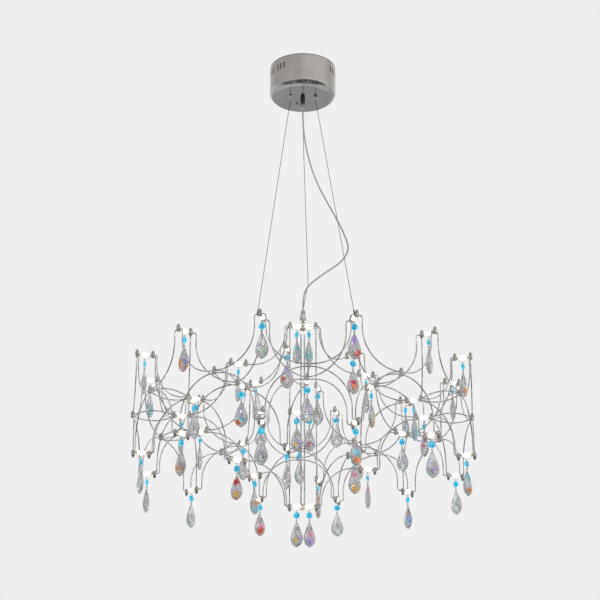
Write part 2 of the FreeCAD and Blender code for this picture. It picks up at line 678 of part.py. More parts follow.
def link_wires():
    """A lens of two bowed wires from each junction collar in to the middle lamp behind it."""
    bowed = []
    for side, z in ((1, UPPER_PAIR_Z), (-1, LOWER_PAIR_Z)):
        start = on_ring(OUTER_SKIN_R - COLLAR_R, 0, z)
        end = on_ring(MID_LAMP_R + CROSSBAR / 2 + FERRULE_R, 0, z)
        middle = (start + end) * 0.5 + V(0, 0, side * LENS_BULGE)
        bowed.append(tube([Part.Arc(start, middle, end).toShape()], WIRE_DIA))
    return ring_of(bowed, MID_TURNS)


def spoke_wires():
    """From each inner column, top and bottom, out to the two nearest middle lamps."""
    pair = []
    for z_end, z_mid in END_LEVELS:
        pair += both_ways(INNER_LAMP_R + CROSSBAR / 2, MID_LAMP_R - CROSSBAR / 2, z_end, z_mid,
                          FERRULE_R, FERRULE_R)
    return ring_of(pair, INNER_TURNS)


def hub_wires():
    """From the middle column's end ferrules out to the inner ends of the inner columns."""
    wires = []
    for turn in INNER_TURNS:
        wrapped = (turn + 180) % 360 - 180
        side = 1 if wrapped > 0 else -1
        for level, z_end in ((CENTRE_LEVELS[0], TOP_Z), (CENTRE_LEVELS[2], BOTTOM_Z)):
            start = V(side * CENTRE_FERRULE_X, 0, level)
            end = on_ring(INNER_LAMP_R - CROSSBAR / 2, wrapped, z_end)
            wires.append(swoop(start, end, FERRULE_R, FERRULE_R))
    return compound(wires)


def centre_posts():
    """Two straight rods behind the middle lamps, and the bent side wires between the lamps' ends.

    The right ones stand in front of their ferrules and the left ones behind, clear of the hub wires.
    """
    length = CENTRE_LEVELS[0] - CENTRE_LEVELS[2] + 2 * CLAMP_HEIGHT
    z = CENTRE_LEVELS[2] - CLAMP_HEIGHT
    solids = [cylinder(POST_DIA, length, side * POST_X, POST_BACK, z) for side in (-1, 1)]
    for side in (-1, 1):
        x = side * CENTRE_FERRULE_X
        for upper, lower in zip(CENTRE_LEVELS[:-1], CENTRE_LEVELS[1:]):
            z0 = upper - WIRE_PAIR_HALF
            z1 = lower + WIRE_PAIR_HALF
            near, out = -side * FERRULE_R, -side * SHOULDER
            path = [V(x, near, z0), V(x, out, z0), V(x, out, z1), V(x, near, z1)]
            solids.append(bent_bar(path, SHOULDER_R, WIRE_DIA))
    return compound(solids)


def centre_terminals():
    """At each level: the terminal between the two lamps, its arm, and its clamp on the rods."""
    solids = []
    for level in CENTRE_LEVELS:
        rise = CONE_RISE if level == CENTRE_LEVELS[0] else FERRULE_HALF
        stem = cylinder(2 * (CENTRE_LAMP_X - LAMP_LENGTH / 2), FERRULE_HALF + rise, 0, 0,
                        level - FERRULE_HALF)
        arm = cylinder(ARM_DIA, POST_BACK, 0, 0, level, V(0, 1, 0))
        half = POST_X + POST_DIA
        clamp = box(-half, half, POST_BACK - POST_DIA, POST_BACK + POST_DIA,
                    level - CLAMP_HEIGHT / 2, level + CLAMP_HEIGHT / 2)
        solid = stem.fuse([arm, clamp])
        for side in (-1, 1):
            solid = solid.cut(cylinder(POST_DIA, 4 * CLAMP_HEIGHT, side * POST_X, POST_BACK,
                                       level - 2 * CLAMP_HEIGHT))
        solids.append(solid)
    return compound(solids)


# ---------------------------------------------------------------- ferrules, collars and lamps
def turned_pin(radius, half, tip):
    """A short turned body about z = 0 that closes upwards like an acorn."""
    crown = [(radius * width, half + tip * height) for height, width in TIP_SHAPE]
    return revolved([(0, -half), (radius - PIN_CHAMFER, -half), (radius, -half + PIN_CHAMFER)]
                    + crown + [(0, half + tip)])


def ferrule(spigot_side, spigot_length):
    """A ferrule with the spigot that reaches the lamp's cap, towards +Y or -Y."""
    body = turned_pin(FERRULE_R, FERRULE_HALF, FERRULE_TIP)
    return body.fuse(cylinder(SPIGOT_DIA, spigot_length, axis=V(0, spigot_side, 0)))


def upside_down(shape):
    copy = shape.copy()
    copy.rotate(V(0, 0, 0), V(0, 1, 0), 180)
    return copy


def ferrules():
    """All ferrules: cones up on the top and middle lamps, cones down on the bottom lamps."""
    reach = (CROSSBAR - LAMP_LENGTH) / 2
    outer_end = ferrule(1, reach)
    inner_end = ferrule(-1, reach)
    solids = []
    rings = ((OUTER_LAMP_R, OUTER_TURNS, TOP_Z, False), (OUTER_LAMP_R, OUTER_TURNS, BOTTOM_Z, True),
             (MID_LAMP_R, MID_TURNS, MID_Z, False),
             (INNER_LAMP_R, INNER_TURNS, TOP_Z, False), (INNER_LAMP_R, INNER_TURNS, BOTTOM_Z, True))
    for radius, turns, z, down in rings:
        for turn in turns:
            for end, offset in ((outer_end, CROSSBAR / 2), (inner_end, -CROSSBAR / 2)):
                shape = upside_down(end) if down else end
                solids.append(placed(shape, radius + offset, turn, z))
    short = ferrule(1, CENTRE_FERRULE_X - CENTRE_LAMP_X - LAMP_LENGTH / 2)
    for level in CENTRE_LEVELS:
        for side in (-1, 1):
            shape = upside_down(short) if level == CENTRE_LEVELS[2] else short
            solids.append(moved(shape, side * CENTRE_FERRULE_X, 0, level, side * 90))
    return compound(solids)


def junction_collars():
    collar = turned_pin(COLLAR_R, COLLAR_HALF, COLLAR_TIP)
    return compound([placed(collar, OUTER_SKIN_R, turn, MID_Z) for turn in MID_TURNS])


def along_y(shape):
    """A solid of revolution about Z, laid along Y."""
    copy = shape.copy()
    copy.rotate(V(0, 0, 0), V(1, 0, 0), 90)
    return copy


def lamp_places():
    """(x, y, z, turn) of every lamp. Turn 0 lays the lamp along Y."""
    places = []
    for radius, turns, levels in ((OUTER_LAMP_R, OUTER_TURNS, (TOP_Z, BOTTOM_Z)),
                                  (MID_LAMP_R, MID_TURNS, (MID_Z,)),
                                  (INNER_LAMP_R, INNER_TURNS, (TOP_Z, BOTTOM_Z))):
        for z in levels:
            for turn in turns:
                p = on_ring(radius, turn, z)
                places.append((p.x, p.y, p.z, turn))
    for level in CENTRE_LEVELS:
        for side in (-1, 1):
            places.append((side * CENTRE_LAMP_X, 0.0, level, 90.0))
    return places


def lamp_bulbs():
    half = LAMP_LENGTH / 2 - LAMP_CAP_LENGTH
    upper = [(LAMP_DIA / 2, half - LAMP_TAPER), (LAMP_KNEE_DIA / 2, half - LAMP_TAPER_KNEE),
             (LAMP_NECK_DIA / 2, half), (0, half)]
    lower = [(r, -z) for r, z in reversed(upper)]
    glass = along_y(revolved(lower + upper))
    return compound([moved(glass, *place) for place in lamp_places()])


def lamp_caps():
    half = LAMP_LENGTH / 2
    r = LAMP_CAP_DIA / 2
    cap = revolved([(0, half - LAMP_CAP_LENGTH), (r, half - LAMP_CAP_LENGTH), (r, half - LAMP_CAP_CONE),
                    (LAMP_CAP_END_DIA / 2, half), (0, half)])
    pair = [along_y(cap), along_y(upside_down(cap))]
    return compound([moved(cap, *place) for place in lamp_places() for cap in pair])


def slings():
    """The thin wire under each lamp that its drop hangs from."""
    end = LAMP_LENGTH / 2 + SLING_END
    start_z = -SPIGOT_DIA / 2 + TOUCH_GAP
    path = [V(0, -end, start_z), V(0, -SLING_FLAT / 2, -SLING_DEPTH),
            V(0, SLING_FLAT / 2, -SLING_DEPTH), V(0, end, start_z)]
    sling = bent_bar(path, SLING_BEND_R, SLING_DIA)
    return compound([moved(sling, *place) for place in lamp_places()])


# ---------------------------------------------------------------- crystal drops
def faceted(rings, top, bottom):
    """A closed solid of flat triangles over rings of points, between two end points."""
    faces = []
    sides = len(rings[0])

    def add(a, b, c):
        faces.append(Part.Face(Part.makePolygon([a, b, c, a])))

    for k in range(sides):
        n = (k + 1) % sides
        add(top, rings[0][k], rings[0][n])
        for upper, lower in zip(rings[:-1], rings[1:]):
            add(upper[k], lower[k], lower[n])
            add(upper[k], lower[n], upper[n])
        add(rings[-1][k], bottom, rings[-1][n])
    solid = Part.Solid(Part.Shell(faces))
    if solid.Volume < 0:
        solid.reverse()
    return solid


def ring_points(radius, sides, first_turn, z):
    """Points round a circle, at one height."""
    points = []
    for k in range(sides):
        a = math.radians(first_turn + 360.0 * k / sides)
        points.append(V(radius * math.cos(a), radius * math.sin(a), z))
    return points


def small_bead(z):
    """A round faceted bead on the link's stem."""
    r = SMALL_BEAD_DIA / 2
    rings = [ring_points(r * width, SMALL_BEAD_SIDES, 0, z + r * up) for up, width in SMALL_BEAD_STATIONS]
    solid = faceted(rings, V(0, 0, z + r), V(0, 0, z - r))
    bore = cylinder(LINK_STEM_DIA + 2 * TOUCH_GAP, SMALL_BEAD_DIA + 2 * PAST, z=z - r - PAST)
    return solid.cut(bore)


def octagon(z):
    """The flat eight-sided crystal. Its faces look along Y, and it has a hole near its top and bottom."""
    half = OCTAGON_ACROSS / 2
    corner_r = half / math.cos(math.pi / 8)
    rim, table = OCTAGON_RIM / 2, OCTAGON_THICK / 2
    rings = [ring_points(OCTAGON_TABLE_DIA / 2, 8, 0, table), ring_points(corner_r, 8, 22.5, rim),
             ring_points(corner_r, 8, 22.5, -rim), ring_points(OCTAGON_TABLE_DIA / 2, 8, 0, -table)]
    solid = along_y(faceted(rings, V(0, 0, table), V(0, 0, -table)))
    solid.translate(V(0, 0, z))
    for side in (-1, 1):
        hole_z = z + side * (half - OCTAGON_DRILL_EDGE)
        solid = solid.cut(cylinder(DRILL_DIA, 2 * OCTAGON_THICK, 0, -OCTAGON_THICK, hole_z, V(0, 1, 0)))
    return solid


# Height down the almond, then its width and its thickness there, as shares of the full ones
ALMOND_STATIONS = ((0.05, 0.24, 0.30), (0.24, 0.52, 0.74), (0.46, 0.84, 0.96), (0.64, 1.0, 1.0),
                   (0.81, 0.88, 0.84), (0.94, 0.52, 0.50))
ALMOND_SECTION = ((1.0, 0.0), (0.66, 0.72), (0.28, 1.0), (-0.28, 1.0), (-0.66, 0.72),
                  (-1.0, 0.0), (-0.66, -0.72), (-0.28, -1.0), (0.28, -1.0), (0.66, -0.72))
# Height on the small bead and width there, as shares of its radius
SMALL_BEAD_STATIONS = ((0.84, 0.62), (0.34, 0.98), (-0.34, 0.98), (-0.84, 0.62))


def almond(top_z):
    """The flat pear-shaped crystal, wide along X, drilled through near its top."""
    rings = []
    for down, width, thick in ALMOND_STATIONS:
        rings.append([V(x * width * ALMOND_WIDTH / 2, y * thick * ALMOND_THICK / 2,
                        top_z - down * ALMOND_LENGTH) for x, y in ALMOND_SECTION])
    solid = faceted(rings, V(0, 0, top_z), V(0, 0, top_z - ALMOND_LENGTH))
    return solid.cut(cylinder(DRILL_DIA, 2 * ALMOND_THICK, 0, -ALMOND_THICK, top_z - ALMOND_DRILL_EDGE,
                              V(0, 1, 0)))


def loop(radius, z, seam):
    """A wire ring whose hole looks along X. Its seam points away from what the ring joins."""
    ring = Part.makeTorus(radius, HOOK_DIA / 2, V(0, 0, z), V(1, 0, 0))
    ring.rotate(V(0, 0, z), V(1, 0, 0), seam)
    return ring


def hook(twist):
    """An eye on the sling, a knot, and under it a loop that is turned with the crystal."""
    eye = Part.makeTorus(HOOK_EYE_R, HOOK_DIA / 2, V(0, 0, HOOK_EYE_Z), V(0, 1, 0))
    knot = Part.makeSphere(HOOK_KNOT_DIA / 2, V(0, 0, KNOT_Z))
    loop_leaves = (90 + twist) % 180         # its direction out of the knot, where the eye's is 0 or 180
    clear_of_both = loop_leaves / 2 if loop_leaves > 90 else loop_leaves / 2 + 90
    return eye.fuse([turned(knot, clear_of_both), turned(loop(HOOK_LOOP_R, HOOK_LOOP_Z, SEAM_DOWN), twist)])


def crystals():
    """Octagon, link, small bead and almond, as they hang on an untwisted hook."""
    r = HOOK_DIA / 2
    seat = DRILL_DIA / 2 - r - LOOP_SEAT_GAP     # from a hole's middle to the middle of a loop's wire
    octagon_z = HOOK_LOOP_Z - HOOK_LOOP_R - seat + OCTAGON_DRILL_EDGE - OCTAGON_ACROSS / 2
    low_hole_z = octagon_z - OCTAGON_ACROSS / 2 + OCTAGON_DRILL_EDGE
    upper_z = low_hole_z - seat - LINK_LOOP_R
    bead_z = upper_z - LINK_LOOP_R - r - SMALL_BEAD_DIA / 2
    lower_z = bead_z - SMALL_BEAD_DIA / 2 - r - LINK_LOOP_R
    almond_z = lower_z - LINK_LOOP_R - seat + ALMOND_DRILL_EDGE
    stem = cylinder(LINK_STEM_DIA, upper_z - lower_z - 2 * LINK_LOOP_R, z=lower_z + LINK_LOOP_R)
    link = stem.fuse([loop(LINK_LOOP_R, upper_z, SEAM_UP), loop(LINK_LOOP_R, lower_z, SEAM_DOWN)])
    return octagon(octagon_z), link, small_bead(bead_z), almond(almond_z)


def drops_at(places, hanging):
    """Drops under these lamps, each (x, y, z, turn of the sling, twist of the crystal)."""
    solids = []
    for x, y, z, turn, twist in places:
        one = [hook(twist)] + [turned(s, twist) for s in hanging]
        solids += [moved(s, x, y, z - SLING_DEPTH, turn) for s in one]
    return compound(solids)


def ring_places(radius, turns, z, twists):
    places = []
    for turn, twist in zip(turns, twists):
        p = on_ring(radius, turn, z)
        places.append((p.x, p.y, p.z, turn, twist))
    return places


def drop_groups():
    """{node: places}. Drops whose slings lie on one radial line share a node and a hinge."""
    groups = {}
    for level, z, outer_twists, inner_twists in (("top", TOP_Z, TOP_TWISTS, INNER_TOP_TWISTS),
                                                 ("bottom", BOTTOM_Z, BOTTOM_TWISTS, INNER_BOTTOM_TWISTS)):
        inner = ring_places(INNER_LAMP_R, INNER_TURNS, z, inner_twists)
        for n, place in enumerate(ring_places(OUTER_LAMP_R, OUTER_TURNS, z, outer_twists)):
            in_line = [p for p in inner if abs(p[3] - place[3]) < SAME_PLACE]
            groups["%s_drop_%02d" % (level, n + 1)] = [place] + in_line
    half = OUTER_COLUMNS // 2
    middle = ring_places(MID_LAMP_R, MID_TURNS, MID_Z, MID_TWISTS)
    for n in range(half):
        groups["middle_drop_%02d" % (n + 1)] = [middle[n], middle[n + half]]
    for n, level in enumerate(CENTRE_LEVELS):
        groups["centre_drop_%02d" % (n + 1)] = [
            (side * CENTRE_LAMP_X, 0.0, level, 90.0, 90.0 + side * CENTRE_TWISTS[n]) for side in (-1, 1)]
    return groups


# ---------------------------------------------------------------- all nodes
def save(node, shape):
    for solid in shape.Solids:
        if not solid.isValid():
            print("not valid:", node)
            break
    shape.exportStep("parts/%s.step" % node)
    print(node, len(shape.Solids), "solids", round(shape.Volume / 1000, 2), "cm3")


def main():
    os.makedirs("parts", exist_ok=True)
    makers = (
        ceiling_bracket, canopy_shell, canopy_screws, transformer, pan_head_screws, terminal_block,
        gripper_bodies, gripper_plunger_left, gripper_plunger_right, gripper_plunger_rear, canopy_nuts,
        cable_gland, suspension_wires, power_cable, cable_cone,
        outer_skin_wires, inner_skin_wires, link_wires, spoke_wires, hub_wires, centre_posts,
        centre_terminals, ferrules, junction_collars, lamp_bulbs, lamp_caps, slings,
    )
    for maker in makers:
        save(maker.__name__, maker())
    hanging = crystals()
    for node, places in drop_groups().items():
        save(node, drops_at(places, hanging))


main()
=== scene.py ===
# %% [markdown]
# # A crystal chandelier
# The real object is a ceiling canopy, three thin wires and a slack cable, and under them a round cage
# of bent nickel wire with small glowing lamps. Under each lamp hangs a drop: a wire hook, an aqua
# octagon, a wire link with a small bead, and a flat pear-shaped crystal with a rainbow coating.
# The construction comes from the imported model. This script dresses it: it gives every metal, plastic
# and glass its finish, and makes the cable, the lamp glasses and the crystals in finer detail.

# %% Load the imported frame
import math

import bmesh
import bpy
from mathutils import Matrix, Vector


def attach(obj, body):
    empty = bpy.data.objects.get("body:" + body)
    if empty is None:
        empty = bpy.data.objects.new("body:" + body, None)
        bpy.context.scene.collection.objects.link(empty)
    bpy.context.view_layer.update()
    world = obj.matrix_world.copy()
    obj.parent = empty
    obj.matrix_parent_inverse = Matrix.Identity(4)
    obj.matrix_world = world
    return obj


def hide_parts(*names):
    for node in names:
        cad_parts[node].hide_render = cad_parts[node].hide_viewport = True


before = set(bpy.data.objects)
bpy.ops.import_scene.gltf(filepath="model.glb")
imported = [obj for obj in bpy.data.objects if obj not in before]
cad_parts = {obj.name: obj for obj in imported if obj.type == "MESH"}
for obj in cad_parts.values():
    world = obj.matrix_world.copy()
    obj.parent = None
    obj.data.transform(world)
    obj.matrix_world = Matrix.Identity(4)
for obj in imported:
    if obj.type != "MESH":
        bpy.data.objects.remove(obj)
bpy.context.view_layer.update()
scene = bpy.context.scene
scene.view_settings.view_transform = "Standard"
MM = 0.001

# %% [markdown]
# ## The camera
# The photograph was taken from below, 2.9 m away, with a long lens. The place, tilt and lens were found
# by fitting the centres of sixty lamps, so each lamp falls where the photograph has it.

# %% Camera
LENS_MM, SENSOR_MM = 88.4, 36.0
CAMERA_PLACE = (-0.090, -2.912, -1.634)
CAMERA_TILT, CAMERA_TURN = math.radians(110.4), math.radians(-1.65)   # a tilt of 90 degrees is level


def link_object(name, data):
    """A new object in the scene, at the origin."""
    made = bpy.data.objects.new(name, data)
    scene.collection.objects.link(made)
    return made


camera = link_object("camera", bpy.data.cameras.new("camera"))
camera.data.lens = LENS_MM
camera.data.sensor_width = SENSOR_MM
camera.location = CAMERA_PLACE
camera.rotation_euler = (CAMERA_TILT, 0.0, CAMERA_TURN)
scene.camera = camera

# %% [markdown]
# ## The power cable
# A cable is a fixed length of something springy. A NURBS spline of order 3 runs smoothly near its
# control points and never rings, so a few points down the slack loop are enough. Inside the clear
# sheath two silver strands are twisted round each other. They follow points read from the same spline.

# %% The cable's route
CABLE_ROUTE_MM = (
    (0, 0, -87), (0, 0, -131), (4, -4, -179), (13, -12, -230), (27, -19, -281), (48, -22, -328),
    (70, -20, -368), (88, -10, -402), (100, 4, -430), (87, 16, -453), (62, 17, -472), (39, 13, -490),
    (19, 8, -508), (5, 2, -527), (0, -1.6, -553), (0, -1.6, -575),
)
CABLE_DIA = 3.5 * MM
CABLE_STEPS, CABLE_ROUNDNESS = 12, 5     # along each span, and round a quarter of the section


def route_curve(name, thickness):
    """The cable's spline, as thick as asked."""
    curve = bpy.data.curves.new(name, "CURVE")
    curve.dimensions = "3D"
    curve.resolution_u = CABLE_STEPS
    curve.bevel_depth = 1.0 if thickness else 0.0    # each point's own radius is the real one
    curve.bevel_resolution = CABLE_ROUNDNESS
    curve.use_fill_caps = thickness > 0
    spline = curve.splines.new("NURBS")
    spline.points.add(len(CABLE_ROUTE_MM) - 1)
    for point, place in zip(spline.points, CABLE_ROUTE_MM):
        point.co = (*(c * MM for c in place), 1.0)
        point.radius = thickness / 2
    spline.order_u = 3
    spline.use_endpoint_u = True
    return link_object(name, curve)


cable_sheath = route_curve("cable_sheath", CABLE_DIA)

# %% Two twisted strands inside the sheath
STRAND_DIA = 1.15 * MM
STRAND_OFFSET = 0.62 * MM
STRAND_PITCH = 11 * MM
STRAND_SIDES = 7
STRAND_STEP = 1.2 * MM


def evaluated_mesh(made):
    """What an object's curve settings or modifiers make, as a new mesh."""
    graph = bpy.context.evaluated_depsgraph_get()
    return bpy.data.meshes.new_from_object(made.evaluated_get(graph))


def mesh_from(name, verts, faces, smooth=False):
    """A mesh from its points and faces."""
    mesh = bpy.data.meshes.new(name)
    mesh.from_pydata(verts, [], faces)
    if smooth:
        mesh.polygons.foreach_set("use_smooth", [True] * len(mesh.polygons))
    return mesh


def spline_points(curve_object, step):
    """Points along the spline, at even steps."""
    line = evaluated_mesh(curve_object)
    raw = [v.co.copy() for v in line.vertices]
    bpy.data.meshes.remove(line)
    points, carry = [raw[0]], 0.0
    for a, b in zip(raw[:-1], raw[1:]):
        run = (b - a).length
        while carry + step <= run:
            carry += step
            points.append(a.lerp(b, carry / run))
        carry -= run
    points.append(raw[-1])
    return points


def frames_along(points):
    """A side and an up direction at each point, carried along without twist."""
    found, side = [], Vector((1, 0, 0))
    for i, p in enumerate(points):
        ahead = (points[min(i + 1, len(points) - 1)] - points[max(i - 1, 0)]).normalized()
        side = (side - ahead * side.dot(ahead)).normalized()
        found.append((side.copy(), ahead.cross(side)))
    return found


def tube_mesh(name, lines, dia, sides):
    """One mesh of closed round tubes along these lines."""
    verts, faces = [], []
    for points in lines:
        start = len(verts)
        for p, (side, up) in zip(points, frames_along(points)):
            for k in range(sides):
                a = 2 * math.pi * k / sides
                verts.append(p + (side * math.cos(a) + up * math.sin(a)) * dia / 2)
        for i in range(len(points) - 1):
            for k in range(sides):
                n = (k + 1) % sides
                a = start + i * sides
                faces.append((a + k, a + n, a + sides + n, a + sides + k))
        faces.append([start + k for k in reversed(range(sides))])
        faces.append([start + (len(points) - 1) * sides + k for k in range(sides)])
    return mesh_from(name, verts, faces, smooth=True)


centre_line = route_curve("cable_centre_line", 0.0)
core_points = spline_points(centre_line, STRAND_STEP)
bpy.data.objects.remove(centre_line)
core_frames = frames_along(core_points)
strand_lines = []
for half_turn in (0.0, math.pi):
    line = []
    for i, (p, (side, up)) in enumerate(zip(core_points, core_frames)):
        a = half_turn + 2 * math.pi * i * STRAND_STEP / STRAND_PITCH
        line.append(p + (side * math.cos(a) + up * math.sin(a)) * STRAND_OFFSET)
    strand_lines.append(line)
strands = tube_mesh("cable_strands", strand_lines, STRAND_DIA, STRAND_SIDES)
cable_strands = link_object("cable_strands", strands)
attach(cable_sheath, "frame")
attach(cable_strands, "frame")
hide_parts("power_cable")
print("cable points", len(core_points))

# %% [markdown]
# ## Floor, backdrop and light
# The chandelier hangs in an empty pale room. Polished metal and cut glass have no look of their own:
# they show what is round them. So the camera sees a flat pale backdrop, and rays that bounce off metal
# or go through glass see a room with soft darker panels in it, as a studio has.

# %% Floor, and the bit of ceiling that closes the canopy
CANOPY_R, CANOPY_DEPTH, CANOPY_EDGE_R = 73 * MM, 74 * MM, 14 * MM
FLOOR_HALF, FLOOR_Z = 6.0, -4.6
CEILING_SHORT, CEILING_DOWN, CEILING_SIDES = 0.8 * MM, 0.4 * MM, 48     # just inside the canopy


def flat_sheet(name, outline, z):
    """A stage piece: one level face round this outline."""
    mesh = mesh_from(name, [(x, y, z) for x, y in outline], [list(range(len(outline)))])
    return link_object(name, mesh)


corners = [(x * FLOOR_HALF, y * FLOOR_HALF) for x, y in ((-1, -1), (1, -1), (1, 1), (-1, 1))]
floor = flat_sheet("floor", corners, FLOOR_Z)
ceiling_r = CANOPY_R - CEILING_SHORT
angles = [2 * math.pi * k / CEILING_SIDES for k in range(CEILING_SIDES)]
rim = [(ceiling_r * math.cos(a), ceiling_r * math.sin(a)) for a in angles]
ceiling = flat_sheet("ceiling_over_canopy", rim, -CEILING_DOWN)
floor.visible_glossy = floor.visible_transmission = False

# %% Backdrop and reflections
BACKDROP = 0.863
world = bpy.data.worlds.new("studio")
scene.world = world
world.use_nodes = True
world.node_tree.nodes.clear()


def ramp(tree, factor, stops):
    """A colour ramp over a socket, from (position, grey or colour) pairs."""
    made = tree.nodes.new("ShaderNodeValToRGB")
    while len(made.color_ramp.elements) < len(stops):
        made.color_ramp.elements.new(0.5)
    for element, (position, tone) in zip(made.color_ramp.elements, stops):
        element.position = position
        element.color = (*tone, 1.0) if isinstance(tone, tuple) else (tone, tone, tone, 1.0)
    tree.links.new(factor, made.inputs[0])
    return made.outputs[0]


def noise(tree, vector, scale, detail):
    """Soft noise over a vector. The scale is a socket or a number."""
    made = tree.nodes.new("ShaderNodeTexNoise")
    made.inputs["Detail"].default_value = detail
    tree.links.new(vector, made.inputs["Vector"])
    if isinstance(scale, float):
        made.inputs["Scale"].default_value = scale
    else:
        tree.links.new(scale, made.inputs["Scale"])
    return made.outputs[0]


def math_node(tree, operation, a, b=None, c=None, clamp=False):
    """A Math node. Each input is a socket or a number."""
    made = tree.nodes.new("ShaderNodeMath")
    made.operation = operation
    made.use_clamp = clamp
    for socket, value in zip(made.inputs, (a, b, c)):
        if value is None:
            continue
        if isinstance(value, (int, float)):
            socket.default_value = value
        else:
            tree.links.new(value, socket)
    return made.outputs[0]


def mix_colour(tree, factor, a, b, blend="MIX"):
    """A Mix node for colours, which are its sockets 6, 7 and 2. Inputs: sockets, numbers or colours."""
    made = tree.nodes.new("ShaderNodeMix")
    made.data_type = "RGBA"
    made.blend_type = blend
    for index, value in ((0, factor), (6, a), (7, b)):
        if isinstance(value, (int, float)):
            made.inputs[index].default_value = value
        elif isinstance(value, tuple):
            made.inputs[index].default_value = (*value[:3], 1.0)
        else:
            tree.links.new(value, made.inputs[index])
    return made.outputs[2]


def split(tree, vector):
    """The three parts of a vector."""
    made = tree.nodes.new("ShaderNodeSeparateXYZ")
    tree.links.new(vector, made.inputs[0])
    return made.outputs


# %% What metal and glass see
GLASS_SKY = (0.88, 0.89, 0.90)
DIFFUSE_SKY = (0.62, 0.62, 0.62)
LOW_TINT = (0.93, 0.98, 1.0)
LOW_SLOPE, DARK_SLOPE, FRONT_SLOPE = -3.0, -6.0, -3.2        # how fast each region begins
METAL_NOISE, GLASS_NOISE, WINDOW_NOISE = (1.1, 0.0), (3.4, 2.0), (15.0, 1.0)         # scale and detail
ROOM_GREYS = ((0.0, 0.62), (0.33, 0.56), (0.47, 0.64), (0.58, 0.76), (0.76, 0.66), (1.0, 0.85))  # going up
METAL_PANELS = ((0.34, 0.72), (0.60, 1.0))
GLASS_PANELS = ((0.36, 0.22), (0.46, 0.48), (0.55, 0.74), (0.62, 1.0))
DARK_ROOM = ((0.42, 0.02), (0.56, 0.05), (0.62, 0.45), (0.68, 1.2))

tree = world.node_tree
direction = tree.nodes.new("ShaderNodeTexCoord").outputs["Generated"]
_, towards_back, up = split(tree, direction)
height_share = math_node(tree, "MULTIPLY_ADD", up, 0.5, 0.5)
room = ramp(tree, height_share, ROOM_GREYS)
metal_panels = ramp(tree, noise(tree, direction, *METAL_NOISE), METAL_PANELS)
glass_panels = ramp(tree, noise(tree, direction, *GLASS_NOISE), GLASS_PANELS)
for_metal = mix_colour(tree, 1.0, room, metal_panels, "MULTIPLY")
for_glass = mix_colour(tree, 1.0, GLASS_SKY, glass_panels, "MULTIPLY")

# Below, the room is a little cooler. Below and in front it is dark, with a few bright windows: the
# canopy's rounded edge shows that as a dark band with white flecks.
low = math_node(tree, "MULTIPLY", up, LOW_SLOPE, clamp=True)
for_metal = mix_colour(tree, low, for_metal, mix_colour(tree, 1.0, for_metal, LOW_TINT, "MULTIPLY"))
dark_room = ramp(tree, noise(tree, direction, *WINDOW_NOISE), DARK_ROOM)
well_below = math_node(tree, "MULTIPLY", up, DARK_SLOPE, clamp=True)
in_front = math_node(tree, "MULTIPLY", towards_back, FRONT_SLOPE, clamp=True)
for_metal = mix_colour(tree, math_node(tree, "MULTIPLY", well_below, in_front), for_metal, dark_room)

rays = tree.nodes.new("ShaderNodeLightPath")
seen = mix_colour(tree, rays.outputs["Is Glossy Ray"], DIFFUSE_SKY, for_metal)
seen = mix_colour(tree, rays.outputs["Is Transmission Ray"], seen, for_glass)
seen = mix_colour(tree, rays.outputs["Is Camera Ray"], seen, (BACKDROP, BACKDROP, BACKDROP))
background = tree.nodes.new("ShaderNodeBackground")
tree.links.new(seen, background.inputs["Color"])
output = tree.nodes.new("ShaderNodeOutputWorld")
tree.links.new(background.outputs[0], output.inputs["Surface"])

# %% Soft lamps


def soft_light(name, place, aim, size, power):
    """A square soft box that looks at a point."""
    data = bpy.data.lights.new(name, "AREA")
    data.size = size
    data.energy = power
    made = link_object(name, data)
    made.location = place
    made.rotation_euler = (Vector(aim) - Vector(place)).to_track_quat("-Z", "Y").to_euler()
    made.visible_glossy = made.visible_transmission = False
    return made


MIDDLE = (0, 0, -0.6)
soft_light("key", (-2.2, -2.4, 0.6), MIDDLE, 1.2, 30)
soft_light("fill", (2.6, -1.8, -0.6), MIDDLE, 1.0, 14)
soft_light("back", (0.8, 2.6, 0.4), MIDDLE, 1.4, 16)

# %% [markdown]
# ## Finishes
# Every metal and solid plastic is a base colour with a little life in it: patches where handling or age
# has dulled it, a fine grain that breaks up the gloss, and on most a bump too small to see as relief.
# That is one shader group, built once and placed in each material with its own values.

# %% The grain group
FLOAT, COLOUR, VECTOR = "NodeSocketFloat", "NodeSocketColor", "NodeSocketVector"
OBJECT, MATERIAL, WHOLE_NUMBER = "NodeSocketObject", "NodeSocketMaterial", "NodeSocketInt"


def new_group(name, inputs, outputs):
    """A shader node group with named sockets, given as (name, kind, value)."""
    group = bpy.data.node_groups.new(name, "ShaderNodeTree")
    for label, kind, value in inputs:
        socket = group.interface.new_socket(label, in_out="INPUT", socket_type=kind)
        if value is not None:
            socket.default_value = value
    for label, kind in outputs:
        group.interface.new_socket(label, in_out="OUTPUT", socket_type=kind)
    return group, group.nodes.new("NodeGroupInput"), group.nodes.new("NodeGroupOutput")


grain, given, result = new_group(
    "surface_grain",
    (("Colour", COLOUR, (0.6, 0.6, 0.6, 1.0)), ("Dulled Colour", COLOUR, (0.4, 0.4, 0.4, 1.0)),
     ("Patch Scale", FLOAT, 30.0), ("Grain Scale", FLOAT, 900.0),
     ("Roughness", FLOAT, 0.3), ("Spread", FLOAT, 0.1)),
    (("Colour", COLOUR), ("Roughness", FLOAT), ("Height", FLOAT)))
where = grain.nodes.new("ShaderNodeTexCoord").outputs["Object"]
patches = noise(grain, where, given.outputs["Patch Scale"], 3.0)
fine = noise(grain, where, given.outputs["Grain Scale"], 4.0)
dullness = ramp(grain, patches, ((0.38, 0.0), (0.64, 1.0)))
patched = mix_colour(grain, dullness, given.outputs["Colour"], given.outputs["Dulled Colour"])
centred = math_node(grain, "SUBTRACT", math_node(grain, "ADD", patches, fine), 1.0)
spread = math_node(grain, "MULTIPLY", centred, given.outputs["Spread"])
